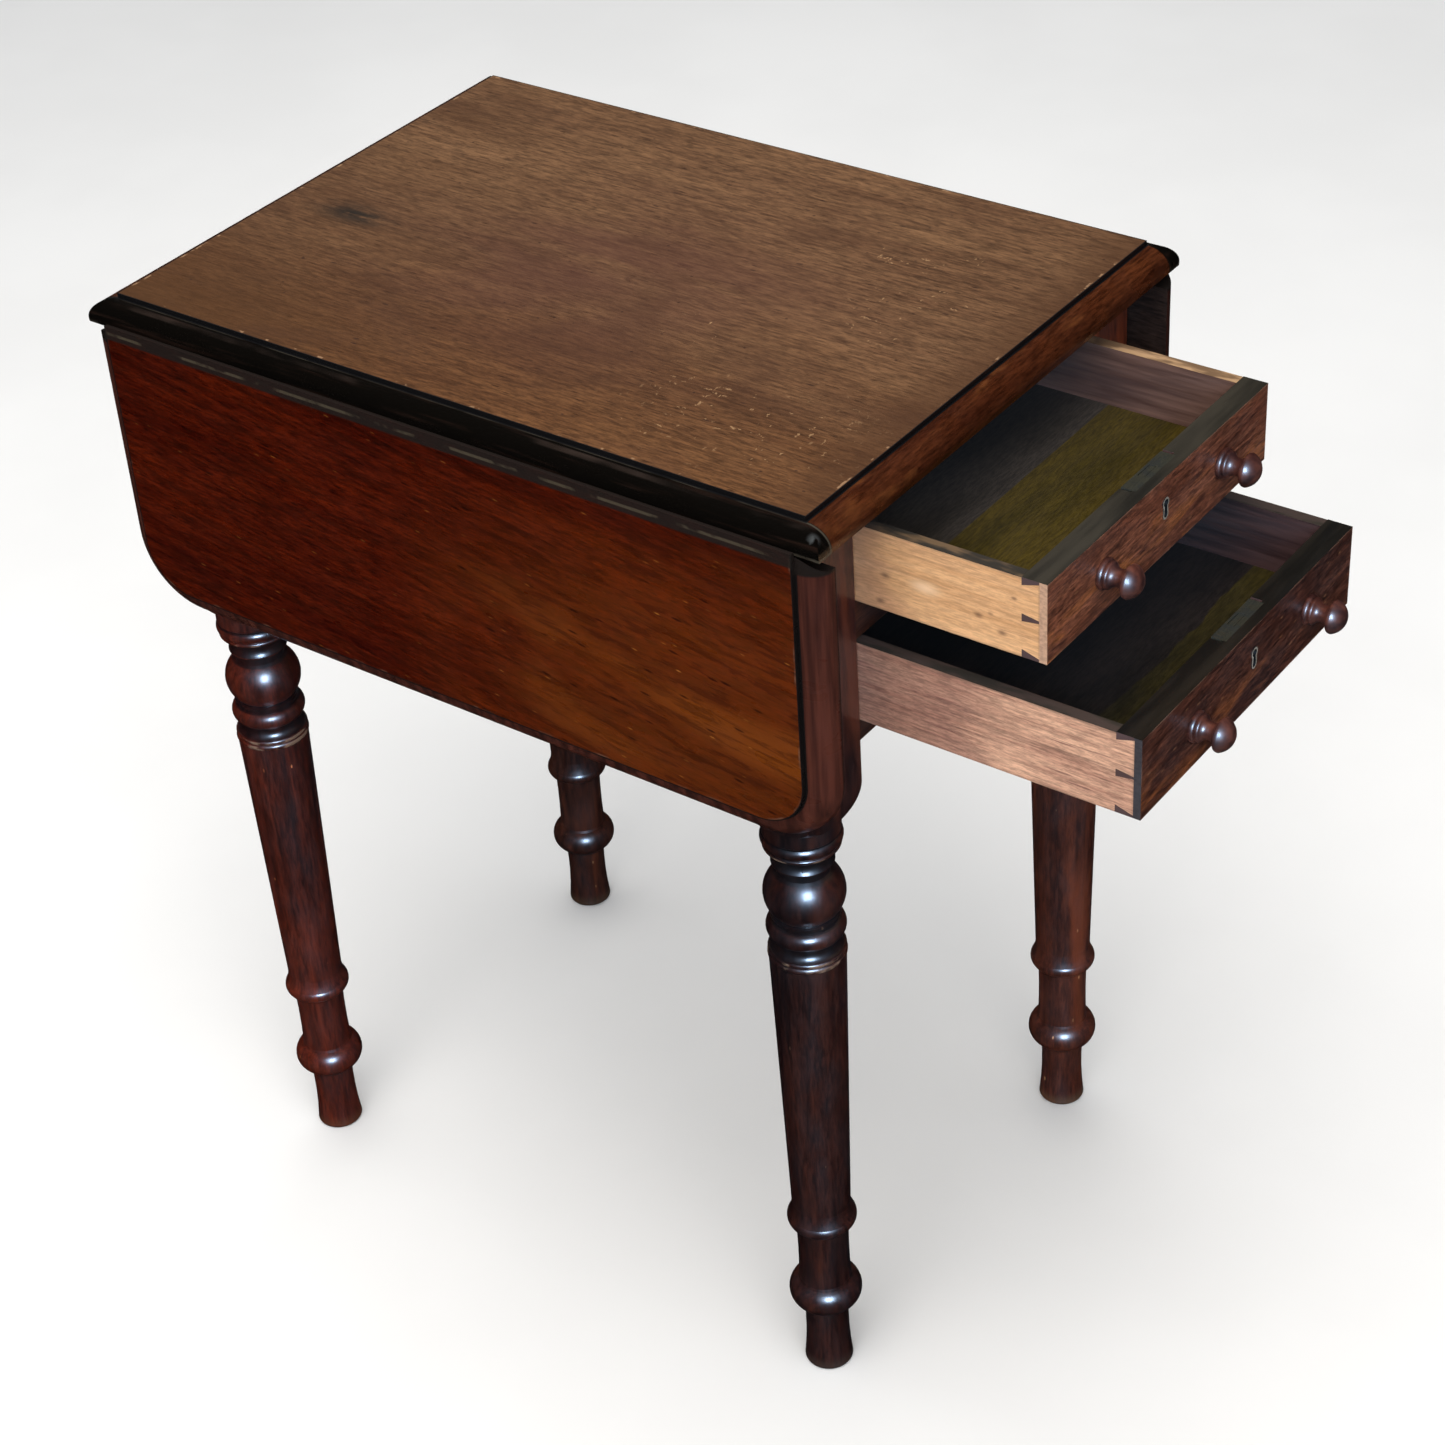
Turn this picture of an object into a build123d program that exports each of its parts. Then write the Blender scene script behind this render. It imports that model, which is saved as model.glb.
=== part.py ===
"""Drop-leaf sewing table: four turned legs, two hanging leaves on rule joints, two drawers.

Millimetres, +Z up, front towards -Y. The case is modelled about its own centre, with the floor
at z = 0, and every node is moved by CASE_Y as it is written, so that the origin lies under the
middle of the whole table with its drawers partly open.
"""

from build123d import *
import os
from math import asin, atan2, degrees, sqrt

os.makedirs("parts", exist_ok=True)

# ---- Driving dimensions -------------------------------------------------------------------

# Top and leaves
HEIGHT = 730.0
TOP_THICK = 19.0
FLAT_HALF_W = 194.0
FLAT_HALF_D = 271.5
FILLET = 3.2
EDGE_DROP = 13.0
EDGE_OUT = 17.0
RULE_R = 13.0
RULE_CLEAR = 0.5
JOINT_GAP = 0.4
LEAF_LENGTH = 217.0
LEAF_CORNER = 35.0

# Legs
POST = 56.0
LEG_X = 161.5
LEG_Y = 232.7
SHOULDER_BOTTOM = 486.5
SHOULDER_SWEEP = (9.0, 4.5, 16.0)
NECK_R = 25.6

# Case
RAIL_SETBACK = 1.5
BOTTOM_RAIL_Z = (531.0, 547.0)
LOWER_BAY_TOP = 606.0
UPPER_BAY_BOTTOM = 634.5
UPPER_BAY_TOP = 690.5
INNER_RAIL_X = (155.5, 171.5)
FLY_RAIL_X = (171.5, 187.5)
FLY_RAIL_BOTTOM = 651.0
BACK_THICK = 16.0
RUNNER_X = 120.0
RUNNER_DEEP = 12.5
GUIDE_HIGH = 15.0
CROSS_TENON_Y = (230.0, 250.0)
BACK_TENON_Y = (246.0, 254.0)
SIDE_TENON_X = (159.0, 168.0)
DEEP_TENON_Z = (560.0, 695.0)
TENON_LONG = 18.0
TENON_SHOULDER = 3.0
STOP_SIZE = (24.0, 14.0, 4.0)
STOP_X = (-70.0, 70.0)
GLUE_BLOCK_X = (-95.0, -30.0, 35.0, 100.0)
GLUE_BLOCK_REACH = 20.0
GLUE_BLOCK_LONG = 44.0

# Drawers
DRAWER_HALF_W = 132.5
DRAWER_LONG = 470.0
FRONT_THICK = 17.0
LAP = 5.0
SIDE_THICK = 9.0
BACK_THIN = 8.0
BOTTOM_THICK = 6.0
BOTTOM_RAISE = 7.0
GROOVE = 4.0
UPPER_DRAWER_Z = (635.0, 689.5)
LOWER_DRAWER_Z = (547.8, 605.0)
UPPER_OPEN = 133.0
LOWER_OPEN = 195.8
BACK_INSET = 8.0
BOTTOM_INSET = 3.0
PIN_WIDE = 5.4
PIN_THIN = 1.8
SIDE_BELOW_FRONT = 0.4

# Locks and knobs
LOCK_X = 4.0
LOCK_CASE = (52.0, 8.0, 32.0)
LOCK_PLATE = (48.0, 10.0, 1.6)
BOLT_RISE = 7.0
LOCK_WALL = 1.2
BOLT_HALF = 7.0
BOLT_PLACE = (2.0, 6.0)
BOLT_SUNK = 0.3
BOLT_FOOT = (12.0, 3.2)
BOLT_SLACK = 0.4
MORTISE_ROOM = 1.0
KEYHOLE_UP = 9.0
ESCUTCHEON_WALL = 1.2
ESCUTCHEON_DEEP = 3.0
ESCUTCHEON_PROUD = 0.4
KNOB_X = (-69.0, 75.0)
KNOB_LONG = 26.0
KNOB_SHANK_R = 4.0

# Table hinges, fly brackets and screws
HINGE_Y = (-170.0, 170.0)
HINGE_WIDE = 40.0
KNUCKLES = 5
PLATE = 1.6
PLATE_RISE = 2.8
KNUCKLE_R = 3.0
PIN_R = 1.5
FIXED_PLATE_LONG = 36.0
LEAF_PLATE_LONG = 46.0
PLATE_STEP = 3.6
SLICE_GAP = 0.1
SWING_POCKET = (14.0, 2.2)
POCKET_ROOM = 0.4
SCREW_FAR = ((12.0, -13.0), (12.0, 13.0), (28.0, 0.0))
LEAF_SCREW_SHIFT = 8.0
TOP_SCREW_X = 138.0
TOP_SCREW_Y = (-170.0, 0.0, 170.0)
TOP_SCREW_R = 2.0
TOP_SCREW_IN = 11.0
TOP_SCREW_SINK = 8.0
TOP_SCREW_HEAD = 2.4
BRACKET_Y = (-96.0, 88.0)
BRACKET_Z = (652.5, 709.5)
BRACKET_PIN_R = 3.0
BRACKET_KNUCKLE_R = 8.0
BRACKET_GAP_R = 8.6
BRACKET_SLICE_GAP = 0.2
ARM_OVERLAP = 0.4
FINGER_R = 30.0
FIT = 0.05

# ---- Derived places -----------------------------------------------------------------------

TOP_BOTTOM = HEIGHT - TOP_THICK
PIVOT_Z = HEIGHT - FILLET - RULE_R
POST_IN_X = LEG_X - POST / 2
POST_IN_Y = LEG_Y - POST / 2
FRONT_PLANE = -(LEG_Y + POST / 2 - RAIL_SETBACK)
BACK_PLANE = -FRONT_PLANE
BRACKET_X = sum(FLY_RAIL_X) / 2
LEAF_BACK = FLAT_HALF_W - PLATE_RISE
DRAWER_IN_X = DRAWER_HALF_W - SIDE_THICK
EDGE_HALF_D = FLAT_HALF_D + EDGE_OUT
CASE_Y = (LOWER_OPEN - FRONT_PLANE + KNOB_LONG - EDGE_HALF_D) / 2
CLEAR = 1.0


# ---- Helpers ------------------------------------------------------------------------------


def block(x0, x1, y0, y1, z0, z1):
    """A board between two opposite corners, given in any order."""
    size = Box(abs(x1 - x0), abs(y1 - y0), abs(z1 - z0))
    return Pos((x0 + x1) / 2, (y0 + y1) / 2, (z0 + z1) / 2) * size


def rod(radius, start, end):
    """A round bar between two points on a line along X, Y or Z."""
    start, end = Vector(start), Vector(end)
    along = end - start
    base = Plane(origin=start, z_dir=along)
    return extrude(base * Circle(radius), amount=along.length)


def other_side(shape):
    """The same piece on the left-hand side."""
    return mirror(shape, about=Plane.YZ)


def save(name, *shapes):
    """Writes one node: the solids of the shapes given, moved to the table's own origin."""
    solids = [solid for shape in shapes for solid in shape.solids()]
    node = solids[0] if len(solids) == 1 else Compound(solids)
    export_step(Pos(0, CASE_Y, 0) * node, f"parts/{name}.step")


def screw(at, direction, head_r=3.2, shank_r=1.6, length=12.0):
    """A countersunk screw: the head's face at the point given, the tip in the direction given."""
    head = head_r - shank_r
    slot_wide, slot_deep = 0.8, 0.7
    face = Plane(origin=at, z_dir=direction)
    cone = extrude(face * Circle(head_r), amount=head, taper=44.9)
    shank = extrude(face * Circle(shank_r), amount=length)
    slot = face * Pos(0, 0, slot_deep / 2) * Box(2.2 * head_r, slot_wide, slot_deep)
    return cone + shank - slot


def screw_hole(at, direction, head_r=3.2, shank_r=1.6, length=12.0):
    """The space a screw fills, with its slot closed."""
    face = Plane(origin=at, z_dir=direction)
    cone = extrude(face * Circle(head_r), amount=head_r - shank_r, taper=44.9)
    return cone + extrude(face * Circle(shank_r), amount=length)


def edge_waste(out, low_angle, far=60.0):
    """What a moulded edge leaves outside it: a fillet, then an ovolo. x outwards, y up."""
    step = HEIGHT - FILLET
    curve = EllipticalCenterArc((0, PIVOT_Z), out, EDGE_DROP, low_angle, arc_size=90 - low_angle)
    low = curve @ 0
    under = TOP_BOTTOM - 1
    over = HEIGHT + 1
    edge = Polyline((0, step), (0, over), (far, over), (far, under), (low.X, under), low)
    return make_face(curve + edge)


# ---- Top and leaves -----------------------------------------------------------------------


def fixed_screw_faces():
    """The right-hand fixed plates' screws: where each head lies, and which way it points."""
    return [
        ((FLAT_HALF_W - far, y + across, TOP_BOTTOM), (0, 0, 1))
        for y in HINGE_Y
        for far, across in SCREW_FAR
    ]


def leaf_screw_faces():
    """The right-hand leaf plates' screws, with the leaf hanging."""
    return [
        ((LEAF_BACK, y + across, PIVOT_Z - far - LEAF_SCREW_SHIFT), (1, 0, 0))
        for y in HINGE_Y
        for far, across in SCREW_FAR
    ]


def top_screw_points():
    """The screws that hold the top down, through the kicker strips."""
    return [(side * TOP_SCREW_X, y) for side in (-1, 1) for y in TOP_SCREW_Y]


def hinge_pockets():
    """The right-hand recesses under the top, for the plates and for the turning knuckles."""
    pockets = []
    swing_out, swing_deep = SWING_POCKET
    near = FLAT_HALF_W - PLATE_STEP
    inner = FLAT_HALF_W - FIXED_PLATE_LONG
    for y in HINGE_Y:
        y0, y1 = y - HINGE_WIDE / 2, y + HINGE_WIDE / 2
        pockets.append(block(inner, near, y0, y1, TOP_BOTTOM, TOP_BOTTOM + PLATE))
        y0, y1 = y0 - POCKET_ROOM, y1 + POCKET_ROOM
        pockets.append(block(near, FLAT_HALF_W + swing_out, y0, y1, TOP_BOTTOM, TOP_BOTTOM + swing_deep))
        barrel = ((FLAT_HALF_W, y0, PIVOT_Z), (FLAT_HALF_W, y1, PIVOT_Z))
        pockets.append(rod(KNUCKLE_R + POCKET_ROOM, *barrel))
    return pockets


def table_top():
    """The fixed top: thumb-moulded front and back edges, rule-joint ovolo along both sides."""
    half_w = FLAT_HALF_W + RULE_R
    past_x, past_y = half_w + 5, EDGE_HALF_D + 5
    top = block(-half_w, half_w, -EDGE_HALF_D, EDGE_HALF_D, TOP_BOTTOM, HEIGHT)
    front = Plane(origin=(-past_x, -FLAT_HALF_D, 0), x_dir=(0, -1, 0), z_dir=(-1, 0, 0))
    front_waste = extrude(front * edge_waste(EDGE_OUT, 0), amount=-2 * past_x)
    joint_low = -degrees(asin(PLATE_RISE / RULE_R))
    side = Plane(origin=(FLAT_HALF_W, past_y, 0), x_dir=(1, 0, 0), z_dir=(0, -1, 0))
    side_waste = extrude(side * edge_waste(RULE_R, joint_low), amount=2 * past_y)
    top -= front_waste
    top -= mirror(front_waste, about=Plane.XZ)
    top -= side_waste
    top -= other_side(side_waste)
    for pocket in hinge_pockets():
        top -= pocket
        top -= other_side(pocket)
    for at, direction in fixed_screw_faces():
        hole = screw_hole(at, direction)
        top -= hole
        top -= other_side(hole)
    for x, y in top_screw_points():
        top -= rod(TOP_SCREW_R, (x, y, TOP_BOTTOM), (x, y, TOP_BOTTOM + TOP_SCREW_IN))
    return top


def leaf_right():
    """The right-hand leaf, shaped as it lies level beside the top, then hung down."""
    x0 = FLAT_HALF_W
    end = x0 + LEAF_LENGTH
    past = EDGE_HALF_D + 1
    leaf = block(x0 + JOINT_GAP, end, -EDGE_HALF_D, EDGE_HALF_D, TOP_BOTTOM, HEIGHT)
    cove_r = RULE_R + RULE_CLEAR
    leaf -= rod(cove_r, (x0, -past, PIVOT_Z), (x0, past, PIVOT_Z))
    leaf -= block(x0, x0 + cove_r, -past, past, TOP_BOTTOM - 1, PIVOT_Z)

    flat_end = end - EDGE_OUT
    turn = flat_end - LEAF_CORNER
    side_y = FLAT_HALF_D - LEAF_CORNER
    start = x0 - 5
    path = Line((start, -FLAT_HALF_D), (turn, -FLAT_HALF_D))
    path += CenterArc((turn, -side_y), LEAF_CORNER, -90, 90)
    path += Line((flat_end, -side_y), (flat_end, side_y))
    path += CenterArc((turn, side_y), LEAF_CORNER, 0, 90)
    path += Line((turn, FLAT_HALF_D), (start, FLAT_HALF_D))
    at_start = Plane(origin=(start, -FLAT_HALF_D, 0), x_dir=(0, -1, 0), z_dir=(-1, 0, 0))
    leaf -= sweep(at_start * edge_waste(EDGE_OUT, 0), path=path)
    leaf = leaf.solids().sort_by(SortBy.VOLUME)[-1]

    hung = leaf.rotate(Axis((x0, 0, PIVOT_Z), (0, 1, 0)), 90)
    plate_end = PIVOT_Z - LEAF_PLATE_LONG
    for y in HINGE_Y:
        y0, y1 = y - HINGE_WIDE / 2, y + HINGE_WIDE / 2
        hung -= block(LEAF_BACK, LEAF_BACK + PLATE, y0, y1, plate_end, PIVOT_Z)
    for at, direction in leaf_screw_faces():
        hung -= screw_hole(at, direction)
    return hung


# ---- Legs ---------------------------------------------------------------------------------

# The tenons at one corner, given in the quarter where x and y are positive.


def rail_tenon(z0, z1):
    """A cross rail's tenon in a front post."""
    return (POST_IN_X, POST_IN_X + TENON_LONG, *CROSS_TENON_Y, z0 + TENON_SHOULDER, z1 - TENON_SHOULDER)


FRONT_TENONS = [
    rail_tenon(*BOTTOM_RAIL_Z),
    rail_tenon(LOWER_BAY_TOP, UPPER_BAY_BOTTOM),
    rail_tenon(UPPER_BAY_TOP, TOP_BOTTOM),
]
BACK_TENON = (POST_IN_X, POST_IN_X + TENON_LONG, *BACK_TENON_Y, *DEEP_TENON_Z)
SIDE_TENON = (*SIDE_TENON_X, POST_IN_Y, POST_IN_Y + TENON_LONG, *DEEP_TENON_Z)


def turned_profile():
    """Half the outline of the turned part, from the shoulder down to the floor."""
    collar = (
        (("line", (NECK_R, 474.6)), ("line", (25.0, 474.0)), ("line", (25.0, 472.6)))
        + (("arc", (26.6, 468.8), (24.9, 465.0)), ("line", (24.4, 464.6)))
        + (("arc", (25.4, 463.2), (24.4, 461.8)), ("line", (23.0, 461.0)))
        + (("arc", (18.8, 454.6), (20.6, 449.8)), ("line", (20.6, 448.8)), ("line", (17.6, 447.4)))
    )
    ball = (
        (("line", (17.6, 441.8)), ("arc", (26.8, 424.0), (20.8, 408.8)), ("line", (20.8, 408.2)))
        + (("line", (22.8, 407.6)), ("line", (22.8, 406.2)), ("line", (21.6, 405.6)))
        + (("line", (21.6, 403.4)), ("arc", (26.1, 396.8), (23.0, 390.6)), ("line", (22.2, 390.4)))
        + (("arc", (20.8, 385.4), (24.2, 380.9)), ("line", (24.8, 380.9)))
        + (("arc", (25.6, 379.4), (25.0, 377.9)), ("line", (25.0, 377.4)))
        + (("arc", (26.0, 375.4), (25.3, 373.4)), ("line", (20.3, 153.0)))
    )
    ankle = (
        (("arc", (21.2, 147.0), (22.8, 142.6)), ("arc", (24.1, 138.6), (22.5, 134.8)))
        + (("line", (18.9, 134.4)), ("line", (18.9, 132.6)), ("line", (18.2, 132.0)))
        + (("arc", (17.7, 106.0), (18.2, 82.0)), ("line", (18.9, 80.0)))
    )
    foot = (
        (("arc", (25.5, 69.0), (18.0, 57.6)), ("line", (17.0, 57.2)), ("line", (17.0, 55.6)))
        + (("line", (15.6, 54.8)), ("arc", (15.2, 30.0), (16.9, 3.6)))
        + (("arc", (16.6, 1.2), (15.0, 0.0)),)
    )
    at = (NECK_R, SHOULDER_BOTTOM)
    outline = Line((0, SHOULDER_BOTTOM + 1), (NECK_R, SHOULDER_BOTTOM + 1))
    outline += Line((NECK_R, SHOULDER_BOTTOM + 1), at)
    for kind, *points in collar + ball + ankle + foot:
        outline += Line(at, points[0]) if kind == "line" else ThreePointArc(at, *points)
        at = points[-1]
    outline += Polyline(at, (0, 0), (0, SHOULDER_BOTTOM + 1))
    return make_face(Plane.XZ * outline)


def leg(side, end):
    """One leg at the corner given by two signs: a square post above, turned below."""
    reach = POST / sqrt(2)
    out, up, high = SHOULDER_SWEEP
    low = SHOULDER_BOTTOM
    cap = Line((0, low), (NECK_R, low))
    cap += ThreePointArc((NECK_R, low), (NECK_R + out, low + up), (reach, low + high))
    cap += Polyline((reach, low + high), (reach, TOP_BOTTOM), (0, TOP_BOTTOM), (0, low))
    post = block(-POST / 2, POST / 2, -POST / 2, POST / 2, SHOULDER_BOTTOM, TOP_BOTTOM)
    post &= revolve(make_face(Plane.XZ * cap), Axis.Z)
    whole = Pos(side * LEG_X, end * LEG_Y, 0) * (post + revolve(turned_profile(), Axis.Z))
    tenons = FRONT_TENONS if end < 0 else [BACK_TENON]
    for x0, x1, y0, y1, z0, z1 in tenons + [SIDE_TENON]:
        whole -= block(side * x0, side * x1, end * y0, end * y1, z0, z1)
    return whole


# ---- Case ---------------------------------------------------------------------------------


def front_rail(z0, z1):
    """A rail across the front, laid flat, with a tenon at each end."""
    rail = block(-POST_IN_X, POST_IN_X, FRONT_PLANE, -POST_IN_Y, z0, z1)
    x0, x1, y0, y1, low, high = rail_tenon(z0, z1)
    for side in (-1, 1):
        rail += block(side * x0, side * x1, -y0, -y1, low, high)
    return rail


def bolt_mortise(bay_top):
    """The slot that a drawer's lock bolt shoots into, above a closed drawer."""
    inner = FRONT_PLANE + FRONT_THICK
    half = BOLT_HALF + MORTISE_ROOM
    y0, y1 = inner - BOLT_PLACE[1] - MORTISE_ROOM, inner - BOLT_PLACE[0] + MORTISE_ROOM
    return block(LOCK_X - half, LOCK_X + half, y0, y1, bay_top, bay_top + BOLT_RISE + MORTISE_ROOM)


def back_panel():
    """The panel between the back posts."""
    inner = BACK_PLANE - BACK_THICK
    panel = block(-POST_IN_X, POST_IN_X, inner, BACK_PLANE, BOTTOM_RAIL_Z[0], TOP_BOTTOM)
    x0, x1, y0, y1, z0, z1 = BACK_TENON
    for side in (-1, 1):
        panel += block(side * x0, side * x1, y0, y1, z0, z1)
    return panel


def inner_rail_right():
    """The deep rail between the posts of one side, which carries the drawer runners."""
    rail = block(*INNER_RAIL_X, -POST_IN_Y, POST_IN_Y, BOTTOM_RAIL_Z[0], TOP_BOTTOM)
    x0, x1, y0, y1, z0, z1 = SIDE_TENON
    for end in (-1, 1):
        rail += block(x0, x1, end * y0, end * y1, z0, z1)
    return rail


def bracket_rod(radius, z0, z1):
    """A round bar on the bracket's own pivot line."""
    return rod(radius, (BRACKET_X, BRACKET_Y[1], z0), (BRACKET_X, BRACKET_Y[1], z1))


def bracket_slices(first):
    """The heights of every second slice of the wooden knuckle joint, from the slice given."""
    slice_high = (BRACKET_Z[1] - BRACKET_Z[0]) / KNUCKLES
    slices = []
    for index in range(first, KNUCKLES, 2):
        low = BRACKET_Z[0] + index * slice_high
        slices.append((low + BRACKET_SLICE_GAP, low + slice_high - BRACKET_SLICE_GAP))
    return slices


def fly_rail_right():
    """The fixed halves of the outer side rail, with the bracket's gap between them."""
    pivot_y = BRACKET_Y[1]
    rear = block(*FLY_RAIL_X, pivot_y, POST_IN_Y, FLY_RAIL_BOTTOM, TOP_BOTTOM)
    rear -= bracket_rod(BRACKET_GAP_R, FLY_RAIL_BOTTOM - 1, TOP_BOTTOM + 1)
    for low, high in bracket_slices(1):
        rear += bracket_rod(BRACKET_KNUCKLE_R, low, high)
        rear += block(*FLY_RAIL_X, pivot_y, pivot_y + BRACKET_GAP_R + ARM_OVERLAP, low, high)
    rear -= bracket_rod(BRACKET_PIN_R, FLY_RAIL_BOTTOM, TOP_BOTTOM)
    front = block(*FLY_RAIL_X, -POST_IN_Y, BRACKET_Y[0] - CLEAR, FLY_RAIL_BOTTOM, TOP_BOTTOM)
    return rear.solids() + front.solids()


def fly_bracket_right():
    """The swinging bracket that carries a raised leaf."""
    free_y, pivot_y = BRACKET_Y
    z0, z1 = BRACKET_Z
    bracket = block(*FLY_RAIL_X, free_y, pivot_y, z0, z1)
    bracket -= bracket_rod(BRACKET_GAP_R, z0 - 1, z1 + 1)
    for low, high in bracket_slices(0):
        bracket += bracket_rod(BRACKET_KNUCKLE_R, low, high)
        bracket += block(*FLY_RAIL_X, pivot_y - BRACKET_GAP_R - ARM_OVERLAP, pivot_y, low, high)
    bracket -= bracket_rod(BRACKET_PIN_R + FIT, z0, z1)
    finger_line = ((FLY_RAIL_X[0] - 1, free_y, z0), (FLY_RAIL_X[1] + 1, free_y, z0))
    return bracket - rod(FINGER_R, *finger_line)


def bracket_pin_right():
    """The iron pin of the knuckle joint."""
    return bracket_rod(BRACKET_PIN_R, BRACKET_Z[0] + 0.5, BRACKET_Z[1] - 0.5)


def runner_right(bay_bottom):
    """A drawer runner with the guide that keeps the drawer straight, in one L-shaped piece."""
    outer, half_d = INNER_RAIL_X[0], POST_IN_Y
    runner = block(RUNNER_X, outer, -half_d, half_d, bay_bottom - RUNNER_DEEP, bay_bottom)
    return runner + block(POST_IN_X, outer, -half_d, half_d, bay_bottom, bay_bottom + GUIDE_HIGH)


def kicker_right():
    """The strip that stops the upper drawer from tipping and takes the top's screws."""
    low = UPPER_BAY_TOP
    strip = block(RUNNER_X, INNER_RAIL_X[0], -POST_IN_Y, POST_IN_Y, low, TOP_BOTTOM)
    sink_r = 2.2 * TOP_SCREW_R
    for x, y in top_screw_points():
        if x > 0:
            strip -= rod(TOP_SCREW_R, (x, y, low), (x, y, TOP_BOTTOM))
            strip -= rod(sink_r, (x, y, low), (x, y, low + TOP_SCREW_SINK))
    return strip


def top_screws():
    """Round-headed screws up through the kickers into the top."""
    screws = []
    seat = UPPER_BAY_TOP + TOP_SCREW_SINK
    head_r = 2.0 * TOP_SCREW_R
    for x, y in top_screw_points():
        shank = rod(TOP_SCREW_R, (x, y, seat), (x, y, TOP_BOTTOM + TOP_SCREW_IN))
        head = rod(head_r, (x, y, seat - TOP_SCREW_HEAD), (x, y, seat))
        screws.append(shank + head)
    return screws


def drawer_stops():
    """Small blocks behind the front rails, where each closed drawer's front comes to rest."""
    y = FRONT_PLANE + FRONT_THICK
    wide, deep, high = STOP_SIZE
    stops = []
    for bay in (BOTTOM_RAIL_Z[1], UPPER_BAY_BOTTOM):
        for x in STOP_X:
            stops.append(block(x - wide / 2, x + wide / 2, y, y + deep, bay, bay + high))
    return stops


def glue_blocks():
    """Triangular blocks between the back panel and the top."""
    y = BACK_PLANE - BACK_THICK
    reach = GLUE_BLOCK_REACH
    corner = make_face(Polyline((0, 0), (0, -reach), (reach, 0), (0, 0)))
    blocks = []
    for x in GLUE_BLOCK_X:
        origin = (x - GLUE_BLOCK_LONG / 2, y, TOP_BOTTOM)
        start = Plane(origin=origin, x_dir=(0, -1, 0), z_dir=(-1, 0, 0))
        blocks.append(extrude(start * corner, amount=-GLUE_BLOCK_LONG))
    return blocks


# ---- Table hinges -------------------------------------------------------------------------


def pivot_rod(radius, y0, y1):
    """A round bar on the right-hand leaf's own pivot line."""
    return rod(radius, (FLAT_HALF_W, y0, PIVOT_Z), (FLAT_HALF_W, y1, PIVOT_Z))


def hinge_slices(y, first):
    """Every second knuckle of one hinge, as pairs of its end places along Y."""
    wide = HINGE_WIDE / KNUCKLES
    starts = [y - HINGE_WIDE / 2 + n * wide for n in range(first, KNUCKLES, 2)]
    return [(start + SLICE_GAP, start + wide - SLICE_GAP) for start in starts]


def fixed_hinge_plates():
    """The right-hand short hinge plates, let in under the top."""
    plates = []
    half = HINGE_WIDE / 2
    near = FLAT_HALF_W - PLATE_STEP
    far = FLAT_HALF_W - FIXED_PLATE_LONG
    upper = TOP_BOTTOM + PLATE
    for y in HINGE_Y:
        plate = block(far, near, y - half, y + half, TOP_BOTTOM, upper)
        for y0, y1 in hinge_slices(y, 0):
            plate += block(near - 1, FLAT_HALF_W, y0, y1, TOP_BOTTOM, upper)
            plate += pivot_rod(KNUCKLE_R, y0, y1)
        plate -= pivot_rod(PIN_R, y - HINGE_WIDE, y + HINGE_WIDE)
        for at, direction in fixed_screw_faces():
            plate -= screw_hole(at, direction)
        plates.append(plate)
    return plates


def leaf_hinge_plates():
    """The right-hand long hinge plates, let into the back of the hanging leaf."""
    plates = []
    half = HINGE_WIDE / 2
    x0, x1 = LEAF_BACK, LEAF_BACK + PLATE
    upper = PIVOT_Z - PLATE_STEP
    for y in HINGE_Y:
        plate = block(x0, x1, y - half, y + half, PIVOT_Z - LEAF_PLATE_LONG, upper)
        for y0, y1 in hinge_slices(y, 1):
            plate += block(x0, x1, y0, y1, upper - 1, PIVOT_Z)
            plate += pivot_rod(KNUCKLE_R, y0, y1)
        plate -= pivot_rod(PIN_R + FIT, y - HINGE_WIDE, y + HINGE_WIDE)
        for at, direction in leaf_screw_faces():
            plate -= screw_hole(at, direction)
        plates.append(plate)
    return plates


def hinge_pins_right():
    """The pins of one side's hinges."""
    half = HINGE_WIDE / 2
    return [pivot_rod(PIN_R, y - half, y + half) for y in HINGE_Y]


# ---- Drawers ------------------------------------------------------------------------------


def tails(z0, z1, y_front):
    """The two dovetails at a drawer side's front end, widest at the tip. Drawn on the YZ plane."""
    scribe, tip = y_front + FRONT_THICK, y_front + LAP
    middle = (z0 + z1) / 2
    shapes = []
    for low, high in ((z0, middle), (middle, z1)):
        low_part = 1.0 if low == z0 else 0.5
        high_part = 1.0 if high == z1 else 0.5
        corners = [
            (scribe, low + PIN_WIDE * low_part),
            (scribe, high - PIN_WIDE * high_part),
            (tip, high - PIN_THIN * high_part),
            (tip, low + PIN_THIN * low_part),
        ]
        shapes.append(make_face(Plane.YZ * Polyline(*corners, corners[0])))
    return shapes


def drawer_side(side, z0, z1, y_front):
    """One drawer side, tails in front and a groove for the bottom."""
    outer, inner = side * DRAWER_HALF_W, side * DRAWER_IN_X
    y0, y1 = y_front + FRONT_THICK, y_front + DRAWER_LONG
    board = block(outer, inner, y0, y1, z0, z1 - SIDE_BELOW_FRONT)
    for tail in tails(z0, z1, y_front):
        board += extrude(Pos(inner, 0, 0) * tail, amount=side * SIDE_THICK)
    groove = (z0 + BOTTOM_RAISE, z0 + BOTTOM_RAISE + BOTTOM_THICK)
    return board - block(inner, inner + side * GROOVE, y0, y1, *groove)


def keyhole(grow):
    """A keyhole's outline, enlarged all round: a round eye over a flared slot. x across, y up."""
    eye_r, waist, foot_r, drop = 2.6 + grow, 1.3 + grow, 1.9 + grow, 8.2
    slot = make_face(Polyline((-waist, 0), (waist, 0), (foot_r, -drop), (-foot_r, -drop), (-waist, 0)))
    return Circle(eye_r) + slot + Pos(0, -drop) * Circle(foot_r)


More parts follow.
